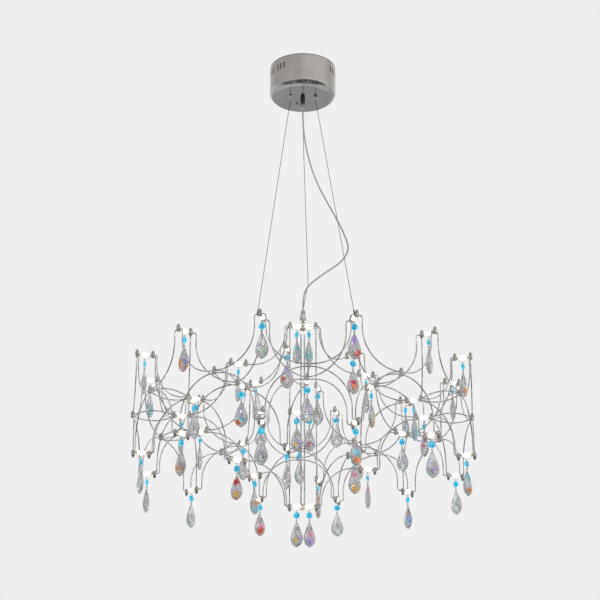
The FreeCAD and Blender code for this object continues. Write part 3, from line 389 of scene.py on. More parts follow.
roughness = math_node(grain, "ADD", spread, given.outputs["Roughness"], clamp=True)
grain.links.new(patched, result.inputs["Colour"])
grain.links.new(roughness, result.inputs["Roughness"])
grain.links.new(fine, result.inputs["Height"])

# %% Materials made with it


def principled(name):
    """A new material and its main shader."""
    material = bpy.data.materials.new(name)
    material.use_nodes = True
    return material, material.node_tree.nodes["Principled BSDF"]


def set_plain(shader, **values):
    """Sets shader inputs that are the same all over. An underscore in a name stands for a space."""
    for socket, value in values.items():
        shader.inputs[socket.replace("_", " ")].default_value = value


def grained(name, colour, dulled, rough, spread_by, patch, fine_scale, metal=0.0, bump=0.00002, **plain):
    """A material on the grain group. Values that are the same all over are set on the shader."""
    material, shader = principled(name)
    tree = material.node_tree
    placed = tree.nodes.new("ShaderNodeGroup")
    placed.node_tree = grain
    for socket, value in (("Colour", (*colour, 1.0)), ("Dulled Colour", (*dulled, 1.0)),
                          ("Patch Scale", patch), ("Grain Scale", fine_scale),
                          ("Roughness", rough), ("Spread", spread_by)):
        placed.inputs[socket].default_value = value
    tree.links.new(placed.outputs["Colour"], shader.inputs["Base Color"])
    tree.links.new(placed.outputs["Roughness"], shader.inputs["Roughness"])
    relief = tree.nodes.new("ShaderNodeBump")
    relief.inputs["Distance"].default_value = bump
    relief.inputs["Strength"].default_value = 0.5
    tree.links.new(placed.outputs["Height"], relief.inputs["Height"])
    tree.links.new(relief.outputs[0], shader.inputs["Normal"])
    set_plain(shader, Metallic=metal, **plain)
    return material


def length_of(tree, a, b):
    """The length of a two-part vector."""
    return math_node(tree, "SQRT", math_node(tree, "ADD", math_node(tree, "MULTIPLY", a, a),
                                             math_node(tree, "MULTIPLY", b, b)))


# Painted shade: the canopy's inside and its vents' cut walls are near black, and a painted shadow line runs
# at the ceiling.
PAINTED_SHADE = (0.012, 0.011, 0.010)
UNSHADED_SKIN, RIM_SHADOW = 0.22 * MM, 1.4 * MM      # how deep the painted shade starts, and the painted shadow line at the ceiling


def paint_shade_inside(material, shell_radius, depth, edge_radius, wall, rim):
    """Painted shade, dull and dark, inside a plated shell and at its rim: a round can, its edge rounded, that
    opens upwards.
    """
    tree = material.node_tree
    shader = tree.nodes["Principled BSDF"]
    x, y, z = split(tree, tree.nodes.new("ShaderNodeTexCoord").outputs["Object"])
    past_edge = math_node(tree, "SUBTRACT", length_of(tree, x, y), shell_radius - edge_radius)
    past_edge = math_node(tree, "MAXIMUM", past_edge, 0.0)
    below_edge = math_node(tree, "SUBTRACT", edge_radius - depth, z)
    below_edge = math_node(tree, "MAXIMUM", below_edge, 0.0)
    inside = math_node(tree, "LESS_THAN", length_of(tree, past_edge, below_edge), edge_radius - wall)
    inside = math_node(tree, "MAXIMUM", inside, math_node(tree, "GREATER_THAN", z, -rim))
    # Where it is shaded, the colour is painted shade and the metal is dull.
    plated = shader.inputs["Base Color"].links[0].from_socket
    tree.links.new(mix_colour(tree, inside, plated, PAINTED_SHADE), shader.inputs["Base Color"])
    tree.links.new(math_node(tree, "SUBTRACT", 1.0, inside), shader.inputs["Metallic"])


chrome = grained("polished_chrome", (0.62, 0.585, 0.56), (0.57, 0.54, 0.515), 0.05, 0.03, 22, 420,
                 metal=1.0, bump=0.0)
# The canopy gets painted shade inside and a painted shadow line at its rim.
paint_shade_inside(chrome, CANOPY_R, CANOPY_DEPTH, CANOPY_EDGE_R, UNSHADED_SKIN, RIM_SHADOW)
nickel = grained("drawn_nickel", (0.82, 0.805, 0.785), (0.42, 0.41, 0.395), 0.16, 0.12, 90, 900,
                 metal=1.0, bump=0.000004)
dark_nickel = grained("dark_nickel", (0.66, 0.63, 0.60), (0.36, 0.34, 0.32), 0.18, 0.16, 260, 1500,
                      metal=1.0, bump=0.00001)
steel = grained("bright_steel", (0.22, 0.205, 0.195), (0.16, 0.15, 0.14), 0.32, 0.12, 50, 1500,
                metal=1.0, bump=0.000004)
zinc = grained("zinc_plate", (0.52, 0.53, 0.54), (0.38, 0.40, 0.42), 0.42, 0.2, 90, 700, metal=1.0)
white_plastic = grained("white_plastic", (0.78, 0.78, 0.76), (0.70, 0.70, 0.67), 0.45, 0.12, 40, 1100)
dark_plastic = grained("dark_plastic", (0.045, 0.043, 0.042), (0.07, 0.067, 0.065), 0.38, 0.16, 120, 1500)
pale_floor = grained("pale_floor", (0.62, 0.62, 0.62), (0.60, 0.60, 0.60), 0.85, 0.05, 0.8, 30, bump=0.0)
for stage_piece in (floor, ceiling):
    stage_piece.data.materials.append(pale_floor)

# %% [markdown]
# ## Cut crystal
# Each pear crystal has a coating that throws a few strong colours, orange, pink, lilac or aqua, and leaves
# the rest of it clear. Which colours show depends on how each one hangs. Geometry Nodes leave on every facet
# a random number, its place in the drop, and two tints with the spot where each belongs. One shader group
# turns these into the glass's colour, with the coating's glints painted in at the spots, and a faint painted
# glow of the same hue; the dark tint is painted shade. The aqua octagons get more painted light: each facet
# glows with its own tone of blue, from nearly black to nearly white, as painted highlights.

# %% The facet group
fire, given, result = new_group(
    "facet_fire",
    (("Glass", COLOUR, (0.9, 0.92, 0.93, 1.0)), ("Pastel", FLOAT, 0.12),
     ("Local", VECTOR, None), ("Facet", FLOAT, 0.5),
     ("Tint A", COLOUR, None), ("Spot A", VECTOR, None),
     ("Tint B", COLOUR, None), ("Spot B", VECTOR, None)),
    (("Colour", COLOUR), ("Glow", COLOUR)))
NEAR_WEIGHT, FACET_WEIGHT, SPOT_CONTRAST = 1.6, 1.1, 3.0
HUE_TURNS = 6.7                       # times round the hues, so a facet's hue doesn't follow its number


def spot_share(tree, local, spot, facet):
    """How far a facet takes a spot's tint: most near the spot's middle, and only on some facets."""
    x, _, z = split(tree, local)
    spot_x, spot_z, reach = split(tree, spot)
    far = length_of(tree, math_node(tree, "SUBTRACT", x, spot_x), math_node(tree, "SUBTRACT", z, spot_z))
    near = math_node(tree, "SUBTRACT", 1.0, math_node(tree, "DIVIDE", far, reach))
    picked = math_node(tree, "SUBTRACT", math_node(tree, "MULTIPLY", near, NEAR_WEIGHT),
                       math_node(tree, "MULTIPLY", facet, FACET_WEIGHT))
    return math_node(tree, "MULTIPLY", picked, SPOT_CONTRAST, clamp=True)


local, facet = given.outputs["Local"], given.outputs["Facet"]
shares = [spot_share(fire, local, given.outputs[spot], facet) for spot in ("Spot A", "Spot B")]
hue = math_node(fire, "FRACT", math_node(fire, "MULTIPLY", facet, HUE_TURNS))
pastel = fire.nodes.new("ShaderNodeCombineColor")
pastel.mode = "HSV"
pastel.inputs[2].default_value = 1.0
fire.links.new(hue, pastel.inputs[0])
fire.links.new(given.outputs["Pastel"], pastel.inputs[1])
colour = mix_colour(fire, 1.0, given.outputs["Glass"], pastel.outputs[0], "MULTIPLY")
# Painted glints: near each spot, some facets take its tint as their colour and as a faint glow.
painted_glint = (0.0, 0.0, 0.0)
for share, tint in zip(shares, ("Tint A", "Tint B")):
    colour = mix_colour(fire, share, colour, given.outputs[tint])
    painted_glint = mix_colour(fire, share, painted_glint, given.outputs[tint])
fire.links.new(colour, result.inputs["Colour"])
fire.links.new(painted_glint, result.inputs["Glow"])

# %% The two kinds of crystal, and the cable's clear sheath


def attribute(tree, name, output):
    """What the mesh holds under this name, in one of its forms."""
    found = tree.nodes.new("ShaderNodeAttribute")
    found.attribute_name = name
    return found.outputs[output]


def crystal(name, glass, pastel_share, painted_glint_strength, film=0.0, painted_facet_light=None):
    """Cut glass on the facet group. Its emission is a painted glint in the spots' colour, or a ramp of its
    own by facet: painted highlights.
    """
    material, shader = principled(name)
    tree = material.node_tree
    placed = tree.nodes.new("ShaderNodeGroup")
    placed.node_tree = fire
    placed.inputs["Glass"].default_value = (*glass, 1.0)
    placed.inputs["Pastel"].default_value = pastel_share
    for socket, attr, output in (("Local", "local", "Vector"), ("Facet", "facet", "Fac"),
                                 ("Tint A", "tint_a", "Color"), ("Spot A", "spot_a", "Vector"),
                                 ("Tint B", "tint_b", "Color"), ("Spot B", "spot_b", "Vector")):
        tree.links.new(attribute(tree, attr, output), placed.inputs[socket])
    tree.links.new(placed.outputs["Colour"], shader.inputs["Base Color"])
    # The emission is a painted glint, or painted highlights by facet on the octagons.
    painted_glint = ramp(tree, attribute(tree, "facet", "Fac"), painted_facet_light) if painted_facet_light else placed.outputs["Glow"]
    tree.links.new(painted_glint, shader.inputs["Emission Color"])
    set_plain(shader, Emission_Strength=painted_glint_strength, Roughness=0.07, IOR=1.6, Transmission_Weight=1.0,
              Thin_Film_Thickness=film, Thin_Film_IOR=1.9)
    return material


# The pears' emission is a faint painted glint in their spots' colours.
aurora_crystal = crystal("aurora_crystal", (0.85, 0.855, 0.86), 0.20, 0.05, film=420.0)
# Painted highlights on the aqua octagons: each facet glows its own blue, from nearly black to nearly white.
AQUA_PAINTED_LIGHT = ((0.0, (0.0, 0.05, 0.13)), (0.55, (0.0, 0.10, 0.19)), (1.0, (0.36, 0.86, 1.0)))
aqua_crystal = crystal("aqua_crystal", (0.04, 0.62, 0.86), 0.12, 0.30, painted_facet_light=AQUA_PAINTED_LIGHT)

clear_sheath, shader = principled("clear_sheath")
set_plain(shader, Base_Color=(0.60, 0.585, 0.57, 1.0), Roughness=0.24, IOR=1.5, Transmission_Weight=0.35)
cable_sheath.data.materials.append(clear_sheath)
silver_strand = grained("silver_strand", (0.80, 0.79, 0.77), (0.70, 0.69, 0.68), 0.45, 0.1, 200, 2600,
                        metal=0.1)
cable_strands.data.materials.append(silver_strand)

# %% Glass that glows, and caps and tips with painted glow
END_WARMTH = ((0.46, (1.0, 0.95, 0.88)), (0.82, (0.26, 0.205, 0.155)), (1.0, (0.15, 0.105, 0.07)))
glowing_glass, shader = principled("glowing_glass")
set_plain(shader, Base_Color=(0.9, 0.88, 0.84, 1.0), Roughness=0.25, Emission_Strength=5.0)
tree = glowing_glass.node_tree
tree.links.new(ramp(tree, attribute(tree, "along", "Fac"), END_WARMTH), shader.inputs["Emission Color"])

# The lamp caps have a painted warm glow, as if lit from inside the glass. The plungers' rounded tips have a
# painted highlight, a faint glow for a light in the room.
lit_cap = grained("lit_cap", (0.82, 0.72, 0.62), (0.74, 0.62, 0.50), 0.35, 0.1, 200, 1500, metal=0.3,
                  Emission_Color=(1.0, 0.74, 0.54, 1.0), Emission_Strength=0.50)
bright_tip = grained("bright_tip", (0.95, 0.92, 0.90), (0.88, 0.84, 0.82), 0.12, 0.05, 200, 1500, metal=1.0,
                     Emission_Color=(1.0, 0.90, 0.86, 1.0), Emission_Strength=0.10)

# %% [markdown]
# ## Where the lamps and drops hang
# The cage is regular: twelve columns at the rim, twelve middle lamps, six inner columns and three pairs
# up the middle. Only the twist of each crystal and its colours differ, as on the real one.

# %% Sizes shared by lamps and drops, in mm, and the crystals' twists in degrees
TOP_Z, BOTTOM_Z, MID_Z = -704.0, -906.0, -806.0
CENTRE_LEVELS = (-610.0, -797.0, -992.0)
OUTER_R, MID_R, INNER_R, CENTRE_X = 332.0, 248.0, 138.0, 12.75
SLING_DEPTH = 7.0
TOP_TWISTS = (4, 23, -19, -8, -20, 10, 0, 10, -9, -10, 0, -10)
BOTTOM_TWISTS = (20, -29, -28, 27, -20, 12, 18, 6, 0, 8, 0, -10)
MID_TWISTS = (0, 40, 7, 25, 28, 15, 36, 10, 17, 0, 12, 10)
INNER_TOP_TWISTS = (-21, 0, -15, 30, 0, 10)
INNER_BOTTOM_TWISTS = (-21, -19, -75, 7, 44, -45)
CENTRE_TWISTS = (60, 32, 30)


def on_ring(radius, turn, z):
    """A place on a ring. Turns are in degrees from the front, towards +X."""
    a = math.radians(turn)
    return (radius * math.sin(a), -radius * math.cos(a), z)


# %% The colours each crystal throws
# The colours painted in as the coating's glints, and a dark grey for painted shade seen in the glass.
TINTS = {
    "amber": (0.95, 0.20, 0.015), "gold": (1.0, 0.52, 0.08), "red": (0.62, 0.035, 0.02),
    "rust": (0.78, 0.085, 0.01), "magenta": (0.72, 0.03, 0.20), "pink": (0.95, 0.38, 0.50),
    "lilac": (0.48, 0.36, 0.90), "blue": (0.06, 0.28, 0.85), "aqua": (0.05, 0.66, 0.80),
    "green": (0.30, 0.80, 0.45), "clear": (0.90, 0.92, 0.93), "smoke": (0.30, 0.31, 0.33),
}
SPOTS = {   # across the crystal, height under the sling, and reach, in mm
    "top": (0, -38, 12), "middle": (0, -52, 10), "low": (0, -65, 12), "left": (-8, -55, 13),
    "right": (8, -55, 13), "high left": (-5, -45, 11), "low right": (6, -63, 10), "low left": (-6, -66, 8),
    "speck": (2, -60, 6.5), "edge": (-9, -58, 8), "left speck": (-7, -55, 5.5),
}
PLAIN = (("clear", "top"), ("clear", "low"))
TOP_FIRE = {0: (("lilac", "top"), ("rust", "low right")), 2: (("gold", "speck"), ("amber", "low")),
            4: (("blue", "middle"), ("clear", "low")), 8: (("aqua", "left"), ("clear", "top")),
            10: (("amber", "left"), ("blue", "right")), 11: (("green", "speck"), ("clear", "top"))}
BOTTOM_FIRE = {0: (("aqua", "middle"), ("amber", "low")), 1: (("lilac", "speck"), ("clear", "top")),
               2: (("aqua", "top"), ("amber", "low")), 4: (("amber", "high left"), ("blue", "left")),
               6: (("pink", "left"), ("rust", "low")), 8: (("smoke", "middle"), ("clear", "low")),
               10: (("amber", "edge"), ("smoke", "right")), 11: (("smoke", "right"), ("clear", "top"))}
MID_FIRE = {0: (("blue", "speck"), ("clear", "low")), 1: (("gold", "middle"), ("amber", "low")),
            2: (("pink", "left"), ("aqua", "right")), 3: (("magenta", "middle"), ("lilac", "top")),
            11: (("aqua", "speck"), ("amber", "low left"))}
INNER_TOP_FIRE = {0: (("red", "middle"), ("amber", "speck")), 5: (("rust", "left speck"), ("lilac", "top"))}
INNER_BOTTOM_FIRE = {0: (("pink", "top"), ("gold", "low")), 1: (("amber", "speck"), ("pink", "top")),
                     2: (("red", "low"), ("rust", "top")), 3: (("amber", "middle"), ("aqua", "low")),
                     4: (("red", "top"), ("gold", "low"))}
CENTRE_FIRE = (   # the left and the right drop of each level
    ((("aqua", "high left"), ("pink", "speck")), (("aqua", "left"), ("gold", "speck"))),
    ((("lilac", "edge"), ("gold", "speck")), (("rust", "speck"), ("lilac", "edge"))),
    ((("gold", "speck"), ("lilac", "edge")), (("pink", "middle"), ("lilac", "low"))))


def ring(radius, first, count, z, twists, fires):
    """Drops of one ring: place, turn of the sling, twist of the crystal, and its two tints."""
    step = 360.0 / count
    return [(on_ring(radius, first + step * n, z), first + step * n, twists[n], fires.get(n, PLAIN))
            for n in range(count)]


drops = {}
for level, z, outer_twists, outer_fire, inner_twists, inner_fire in (
        ("top", TOP_Z, TOP_TWISTS, TOP_FIRE, INNER_TOP_TWISTS, INNER_TOP_FIRE),
        ("bottom", BOTTOM_Z, BOTTOM_TWISTS, BOTTOM_FIRE, INNER_BOTTOM_TWISTS, INNER_BOTTOM_FIRE)):
    inner = ring(INNER_R, 45.0, 6, z, inner_twists, inner_fire)
    for n, place in enumerate(ring(OUTER_R, 15.0, 12, z, outer_twists, outer_fire)):
        drops["%s_drop_%02d" % (level, n + 1)] = [place] + [p for p in inner if abs(p[1] - place[1]) < 0.01]
middle_ring = ring(MID_R, 0.0, 12, MID_Z, MID_TWISTS, MID_FIRE)
for n in range(6):
    drops["middle_drop_%02d" % (n + 1)] = [middle_ring[n], middle_ring[n + 6]]
for n, z in enumerate(CENTRE_LEVELS):
    drops["centre_drop_%02d" % (n + 1)] = [
        ((side * CENTRE_X, 0.0, z), 90.0, 90.0 + side * CENTRE_TWISTS[n], CENTRE_FIRE[n][side > 0])
        for side in (-1, 1)]
lamps = [place for group in drops.values() for place in group]

# %% [markdown]
# ## The crystals' own shapes
# A cut stone is rings of points joined by flat facets. The pear has long smooth facets near its hole
# and a net of small diamonds lower down: there each ring is turned half a step against the last one.

# %% Rings of facets
ONE_FACET = 0.01                      # radians: neighbours flatter than this are one facet
DRILL_SIDES, DRILL_LENGTH = 10, 30.0


def faced_outwards(mesh, flat_angle=None):
    """Merges faces flatter to each other than an angle, if one is given, and turns all of them outwards."""
    work = bmesh.new()
    work.from_mesh(mesh)
    if flat_angle:
        bmesh.ops.dissolve_limit(work, angle_limit=flat_angle, verts=work.verts, edges=work.edges)
    bmesh.ops.recalc_face_normals(work, faces=work.faces)
    work.to_mesh(mesh)
    work.free()
    return mesh


def faceted_mesh(name, rings, top, bottom):
    """A closed mesh of flat facets over rings of points, between two end points."""
    verts = [top] + [p for ring_points in rings for p in ring_points] + [bottom]
    sides, last = len(rings[0]), len(verts) - 1
    faces = []
    for k in range(sides):
        n = (k + 1) % sides
        faces.append((0, 1 + k, 1 + n))
        for i in range(len(rings) - 1):
            a, b = 1 + i * sides, 1 + (i + 1) * sides
            faces += [(a + k, b + k, a + n), (a + n, b + k, b + n)]
        faces.append((1 + (len(rings) - 1) * sides + n, 1 + (len(rings) - 1) * sides + k, last))
    return faced_outwards(mesh_from(name, [Vector(v) * MM for v in verts], faces), ONE_FACET)


def drilled(mesh, heights, dia):
    """The mesh with round holes through it, front to back, at these heights."""
    target = link_object(mesh.name, mesh)
    cutter_mesh = bpy.data.meshes.new("drill")
    work = bmesh.new()
    radius = dia / 2 * MM
    for z in heights:
        place = Matrix.Translation((0, 0, z * MM)) @ Matrix.Rotation(math.pi / 2, 4, "X")
        bmesh.ops.create_cone(work, cap_ends=True, segments=DRILL_SIDES, radius1=radius, radius2=radius,
                              depth=DRILL_LENGTH * MM, matrix=place)
    work.to_mesh(cutter_mesh)
    work.free()
    cutter = link_object("drill", cutter_mesh)
    cut = target.modifiers.new("holes", "BOOLEAN")
    cut.operation, cut.object, cut.solver = "DIFFERENCE", cutter, "EXACT"
    made = evaluated_mesh(target)
    bpy.data.objects.remove(target)
    bpy.data.objects.remove(cutter)
    return made


def template(name, mesh):
    """An object that only Geometry Nodes use. It isn't in the scene."""
    return bpy.data.objects.new(name, mesh)


# %% The octagon. Heights are in mm under the sling's lowest point
EYE_Z, KNOT_Z, HOOK_Z, OCTAGON_Z = -0.73, -2.33, -4.53, -11.38
UPPER_LOOP_Z, BEAD_Z, LOWER_LOOP_Z, PEAR_TOP_Z = -17.83, -21.98, -26.13, -25.68
OCTAGON_ACROSS, OCTAGON_SIDES, DRILL_DIA = 13.0, 8, 1.6
OCTAGON_HOLE = 4.5                    # from the middle
TABLE_R, CROWN_R = 2.5, 4.7
TABLE_Y, CROWN_Y, GIRDLE_Y = 3.0, 2.05, 0.6


def round_ring(radius, sides, first, y, z0):
    """Points of a ring that faces front, the first one at this many degrees."""
    return [(radius * math.cos(math.radians(first + 360 * k / sides)), y,
             z0 + radius * math.sin(math.radians(first + 360 * k / sides))) for k in range(sides)]


half_side = 180.0 / OCTAGON_SIDES
corner_r = OCTAGON_ACROSS / 2 / math.cos(math.radians(half_side))
front_cuts = [(TABLE_R, 0.0, -TABLE_Y), (CROWN_R, half_side, -CROWN_Y), (corner_r, half_side, -GIRDLE_Y)]
back_cuts = [(radius, first, -y) for radius, first, y in reversed(front_cuts)]
octagon_rings = [round_ring(radius, OCTAGON_SIDES, first, y, OCTAGON_Z)
                 for radius, first, y in front_cuts + back_cuts]
octagon = faceted_mesh("octagon", octagon_rings, (0, -TABLE_Y, OCTAGON_Z), (0, TABLE_Y, OCTAGON_Z))
octagon = drilled(octagon, (OCTAGON_Z - OCTAGON_HOLE, OCTAGON_Z + OCTAGON_HOLE), DRILL_DIA)
octagon_template = template("octagon", octagon)

# %% The pear
PEAR_LENGTH, PEAR_WIDTH, PEAR_THICK, PEAR_SIDES = 50.0, 28.0, 12.0, 14
PEAR_HOLE = 2.4                       # under its top
PEAR_OUTLINE = (                      # way down, width and thickness, each as a share of the whole
    (0.0, 0.10, 0.16), (0.05, 0.24, 0.30), (0.24, 0.52, 0.74), (0.46, 0.84, 0.96), (0.64, 1.0, 1.0),
    (0.81, 0.88, 0.84), (0.94, 0.52, 0.50), (1.0, 0.0, 0.0),
)
PEAR_RINGS = (0.012, 0.17, 0.33, 0.44, 0.52, 0.60, 0.68, 0.76, 0.84, 0.91, 0.97)
DIAMONDS_FROM = 3                     # rings from here on are turned half a step, one against the next


def outline_at(down):
    """The pear's width and thickness at a share of the way down."""
    for (d0, w0, t0), (d1, w1, t1) in zip(PEAR_OUTLINE[:-1], PEAR_OUTLINE[1:]):
        if down <= d1:
            share = (down - d0) / (d1 - d0)
            return w0 + (w1 - w0) * share, t0 + (t1 - t0) * share
    return 0.0, 0.0


pear_rings = []
for i, down in enumerate(PEAR_RINGS):
    wide, thick = outline_at(down)
    half_step = 0.5 * ((i - DIAMONDS_FROM) % 2) if i >= DIAMONDS_FROM else 0.0
    points = []
    for k in range(PEAR_SIDES):
        a = 2 * math.pi * (k + half_step) / PEAR_SIDES
        points.append((PEAR_WIDTH / 2 * wide * math.cos(a), PEAR_THICK / 2 * thick * math.sin(a),
                       PEAR_TOP_Z - down * PEAR_LENGTH))
    pear_rings.append(points)
pear = faceted_mesh("pear", pear_rings, (0, 0, PEAR_TOP_Z), (0, 0, PEAR_TOP_Z - PEAR_LENGTH))
pear = drilled(pear, (PEAR_TOP_Z - PEAR_HOLE,), DRILL_DIA)
pear_template = template("pear", pear)

# %% The small bead
BEAD_R, BEAD_SIDES = 2.0, 8
BEAD_OUTLINE = ((0.84, 0.62), (0.34, 0.98), (-0.34, 0.98), (-0.84, 0.62))    # height and width, as shares
angles = [2 * math.pi * k / BEAD_SIDES for k in range(BEAD_SIDES)]
bead_rings = []
for high, wide in BEAD_OUTLINE:
    ring_r = BEAD_R * wide
    bead_rings.append([(ring_r * math.cos(a), ring_r * math.sin(a), BEAD_Z + BEAD_R * high) for a in angles])
bead = faceted_mesh("bead", bead_rings, (0, 0, BEAD_Z + BEAD_R), (0, 0, BEAD_Z - BEAD_R))
bead_template = template("bead", bead)
print("facets", len(octagon.polygons), len(pear.polygons), len(bead.polygons))

# %% [markdown]
# ## The tree that hangs a drop
# One node tree makes every drop. It bends the wire loops from circles, sets them on the points where
# slings hang lowest, turns the crystals by each point's own twist, and gives each kind its material.

# %% Small helpers for node trees


def put(tree, kind, settings=None, **given_values):
    """A node with its settings and its inputs. An input is a socket or a plain value."""
    made = tree.nodes.new(kind)
    for key, value in (settings or {}).items():
        setattr(made, key, value)
    for label, value in given_values.items():
        label = label.replace("_", " ")
        socket = next(s for s in made.inputs if s.enabled and s.name == label)
        if isinstance(value, bpy.types.NodeSocket):
            tree.links.new(value, socket)
        else:
            socket.default_value = value
    return made.outputs[0]


def joined(tree, parts):
    """These geometries as one, in this order."""
    join = tree.nodes.new("GeometryNodeJoinGeometry")
    for part in reversed(parts):
        tree.links.new(part, join.inputs[0])
    return join.outputs[0]


def about_z(tree, angle):
    """A rotation about the vertical, from an angle's socket."""
    return put(tree, "ShaderNodeCombineXYZ", Z=angle)


def marked(tree, geometry, name, value, data_type="FLOAT", domain="FACE"):
    """The geometry with a new named attribute."""
    return put(tree, "GeometryNodeStoreNamedAttribute", {"data_type": data_type, "domain": domain},
               Geometry=geometry, Name=name, Value=value)


def attribute_in(tree, name, data_type="FLOAT"):
    """An attribute's value, inside Geometry Nodes."""
    return put(tree, "GeometryNodeInputNamedAttribute", {"data_type": data_type}, Name=name)


def object_geometry(tree, source):
    """The geometry of an object from a socket, where its own mesh has it."""
    info = put(tree, "GeometryNodeObjectInfo", {"transform_space": "ORIGINAL"}, Object=source)
    return info.node.outputs["Geometry"]


def set_input(modifier, label, value):
    """Sets a tree's input on the modifier, by the socket's identifier."""
    for item in modifier.node_group.interface.items_tree:
        if item.item_type == "SOCKET" and item.in_out == "INPUT" and item.name == label:
            modifier[item.identifier] = value


def new_tree(name, inputs):
    """A Geometry Nodes tree that takes and gives one geometry, with more inputs as asked."""
    tree = bpy.data.node_groups.new(name, "GeometryNodeTree")
    tree.interface.new_socket("Geometry", in_out="INPUT", socket_type="NodeSocketGeometry")
    for label, kind, value in inputs:
        socket = tree.interface.new_socket(label, in_out="INPUT", socket_type=kind)
        if value is not None:
            socket.default_value = value
    tree.interface.new_socket("Geometry", in_out="OUTPUT", socket_type="NodeSocketGeometry")
    return tree, tree.nodes.new("NodeGroupInput"), tree.nodes.new("NodeGroupOutput")


# %% The drop tree
WIRE_R, EYE_R, HOOK_R, LINK_R, KNOT_R = 0.35, 1.6, 2.2, 1.8, 0.95
WIRE_SIDES, LOOP_STEPS, KNOT_SIDES, KNOT_RINGS = 6, 18, 8, 6
LOOK_X, LOOK_Y = (0, math.pi / 2, 0), (math.pi / 2, 0, 0)
METAL_KIND, OCTAGON_KIND, PEAR_KIND = 0, 1, 2
drop_tree, given, result = new_tree("hang_drops", (
    ("Wire Radius", FLOAT, WIRE_R * MM), ("Eye Radius", FLOAT, EYE_R * MM),
    ("Hook Radius", FLOAT, HOOK_R * MM), ("Link Radius", FLOAT, LINK_R * MM),
    ("Knot Radius", FLOAT, KNOT_R * MM), ("Octagon", OBJECT, None), ("Pear", OBJECT, None),
    ("Bead", OBJECT, None), ("Seed", WHOLE_NUMBER, 7), ("Wire Material", MATERIAL, None),
    ("Octagon Material", MATERIAL, None), ("Pear Material", MATERIAL, None)))
wire_section = put(drop_tree, "GeometryNodeCurvePrimitiveCircle", Resolution=WIRE_SIDES,
                   Radius=given.outputs["Wire Radius"])


def wire_loop(radius_name, z, turn):
    """A round loop of wire at a height, its hole looking along X or Y."""
    circle = put(drop_tree, "GeometryNodeCurvePrimitiveCircle", Resolution=LOOP_STEPS,
                 Radius=given.outputs[radius_name])
    loop = put(drop_tree, "GeometryNodeCurveToMesh", Curve=circle, Profile_Curve=wire_section)
    return put(drop_tree, "GeometryNodeTransform", Geometry=loop, Translation=(0, 0, z * MM), Rotation=turn)


knot = put(drop_tree, "GeometryNodeMeshUVSphere", Segments=KNOT_SIDES, Rings=KNOT_RINGS,
           Radius=given.outputs["Knot Radius"])
knot = put(drop_tree, "GeometryNodeTransform", Geometry=knot, Translation=(0, 0, KNOT_Z * MM))
stem = put(drop_tree, "GeometryNodeCurvePrimitiveLine", Start=(0, 0, (UPPER_LOOP_Z - LINK_R) * MM),
           End=(0, 0, (LOWER_LOOP_Z + LINK_R) * MM))
stem = put(drop_tree, "GeometryNodeCurveToMesh", Curve=stem, Profile_Curve=wire_section)
still_wire = joined(drop_tree, [wire_loop("Eye Radius", EYE_Z, LOOK_Y), knot])
turned_wire = joined(drop_tree, [wire_loop("Hook Radius", HOOK_Z, LOOK_X),
                                 wire_loop("Link Radius", UPPER_LOOP_Z, LOOK_X),
                                 wire_loop("Link Radius", LOWER_LOOP_Z, LOOK_X), stem])


def crystal_part(label, kind):
    """A template crystal, marked with its kind."""
    part = object_geometry(drop_tree, given.outputs[label])
    return marked(drop_tree, part, "kind", kind, "INT")


still_wire = marked(drop_tree, still_wire, "kind", METAL_KIND, "INT")
turned_wire = marked(drop_tree, turned_wire, "kind", METAL_KIND, "INT")
stones = joined(drop_tree, [turned_wire, crystal_part("Octagon", OCTAGON_KIND),
                            crystal_part("Pear", PEAR_KIND), crystal_part("Bead", PEAR_KIND)])
place_in_drop = put(drop_tree, "GeometryNodeInputPosition")
stones = marked(drop_tree, stones, "local", place_in_drop, "FLOAT_VECTOR", "POINT")


def hung(geometry, turn_names):
    """Copies on every point, turned about the vertical by the sum of these attributes."""
    turns = [attribute_in(drop_tree, name) for name in turn_names]
    angle = turns[0] if len(turns) == 1 else math_node(drop_tree, "ADD", turns[0], turns[1])
    return put(drop_tree, "GeometryNodeInstanceOnPoints", Points=given.outputs["Geometry"], Instance=geometry,
               Rotation=about_z(drop_tree, angle))


whole = joined(drop_tree, [hung(still_wire, ["turn"]), hung(stones, ["turn", "twist"])])
whole = put(drop_tree, "GeometryNodeRealizeInstances", Geometry=whole)
chance = drop_tree.nodes.new("FunctionNodeRandomValue")
chance.data_type = "FLOAT"
drop_tree.links.new(given.outputs["Seed"], next(s for s in chance.inputs if s.name == "Seed"))
whole = marked(drop_tree, whole, "facet", next(s for s in chance.outputs if s.enabled))
kind_of = attribute_in(drop_tree, "kind", "INT")
for kind, label in ((METAL_KIND, "Wire Material"), (OCTAGON_KIND, "Octagon Material"),
                    (PEAR_KIND, "Pear Material")):
    same = drop_tree.nodes.new("FunctionNodeCompare")
    same.data_type, same.operation = "INT", "EQUAL"
    drop_tree.links.new(kind_of, next(s for s in same.inputs if s.enabled and s.name == "A"))
    next(s for s in same.inputs if s.enabled and s.name == "B").default_value = kind
    whole = put(drop_tree, "GeometryNodeSetMaterial", Geometry=whole, Selection=same.outputs[0],
                Material=given.outputs[label])
    if kind == METAL_KIND:
        whole = put(drop_tree, "GeometryNodeSetShadeSmooth", Geometry=whole, Selection=same.outputs[0],
                    Shade_Smooth=True)
drop_tree.links.new(whole, result.inputs[0])

# %% Hang the drops, one piece for each body that swings
FIRST_SEED = 11
POINT_MARKS = (("turn", "FLOAT"), ("twist", "FLOAT"), ("tint_a", "FLOAT_COLOR"), ("spot_a", "FLOAT_VECTOR"),
               ("tint_b", "FLOAT_COLOR"), ("spot_b", "FLOAT_VECTOR"))


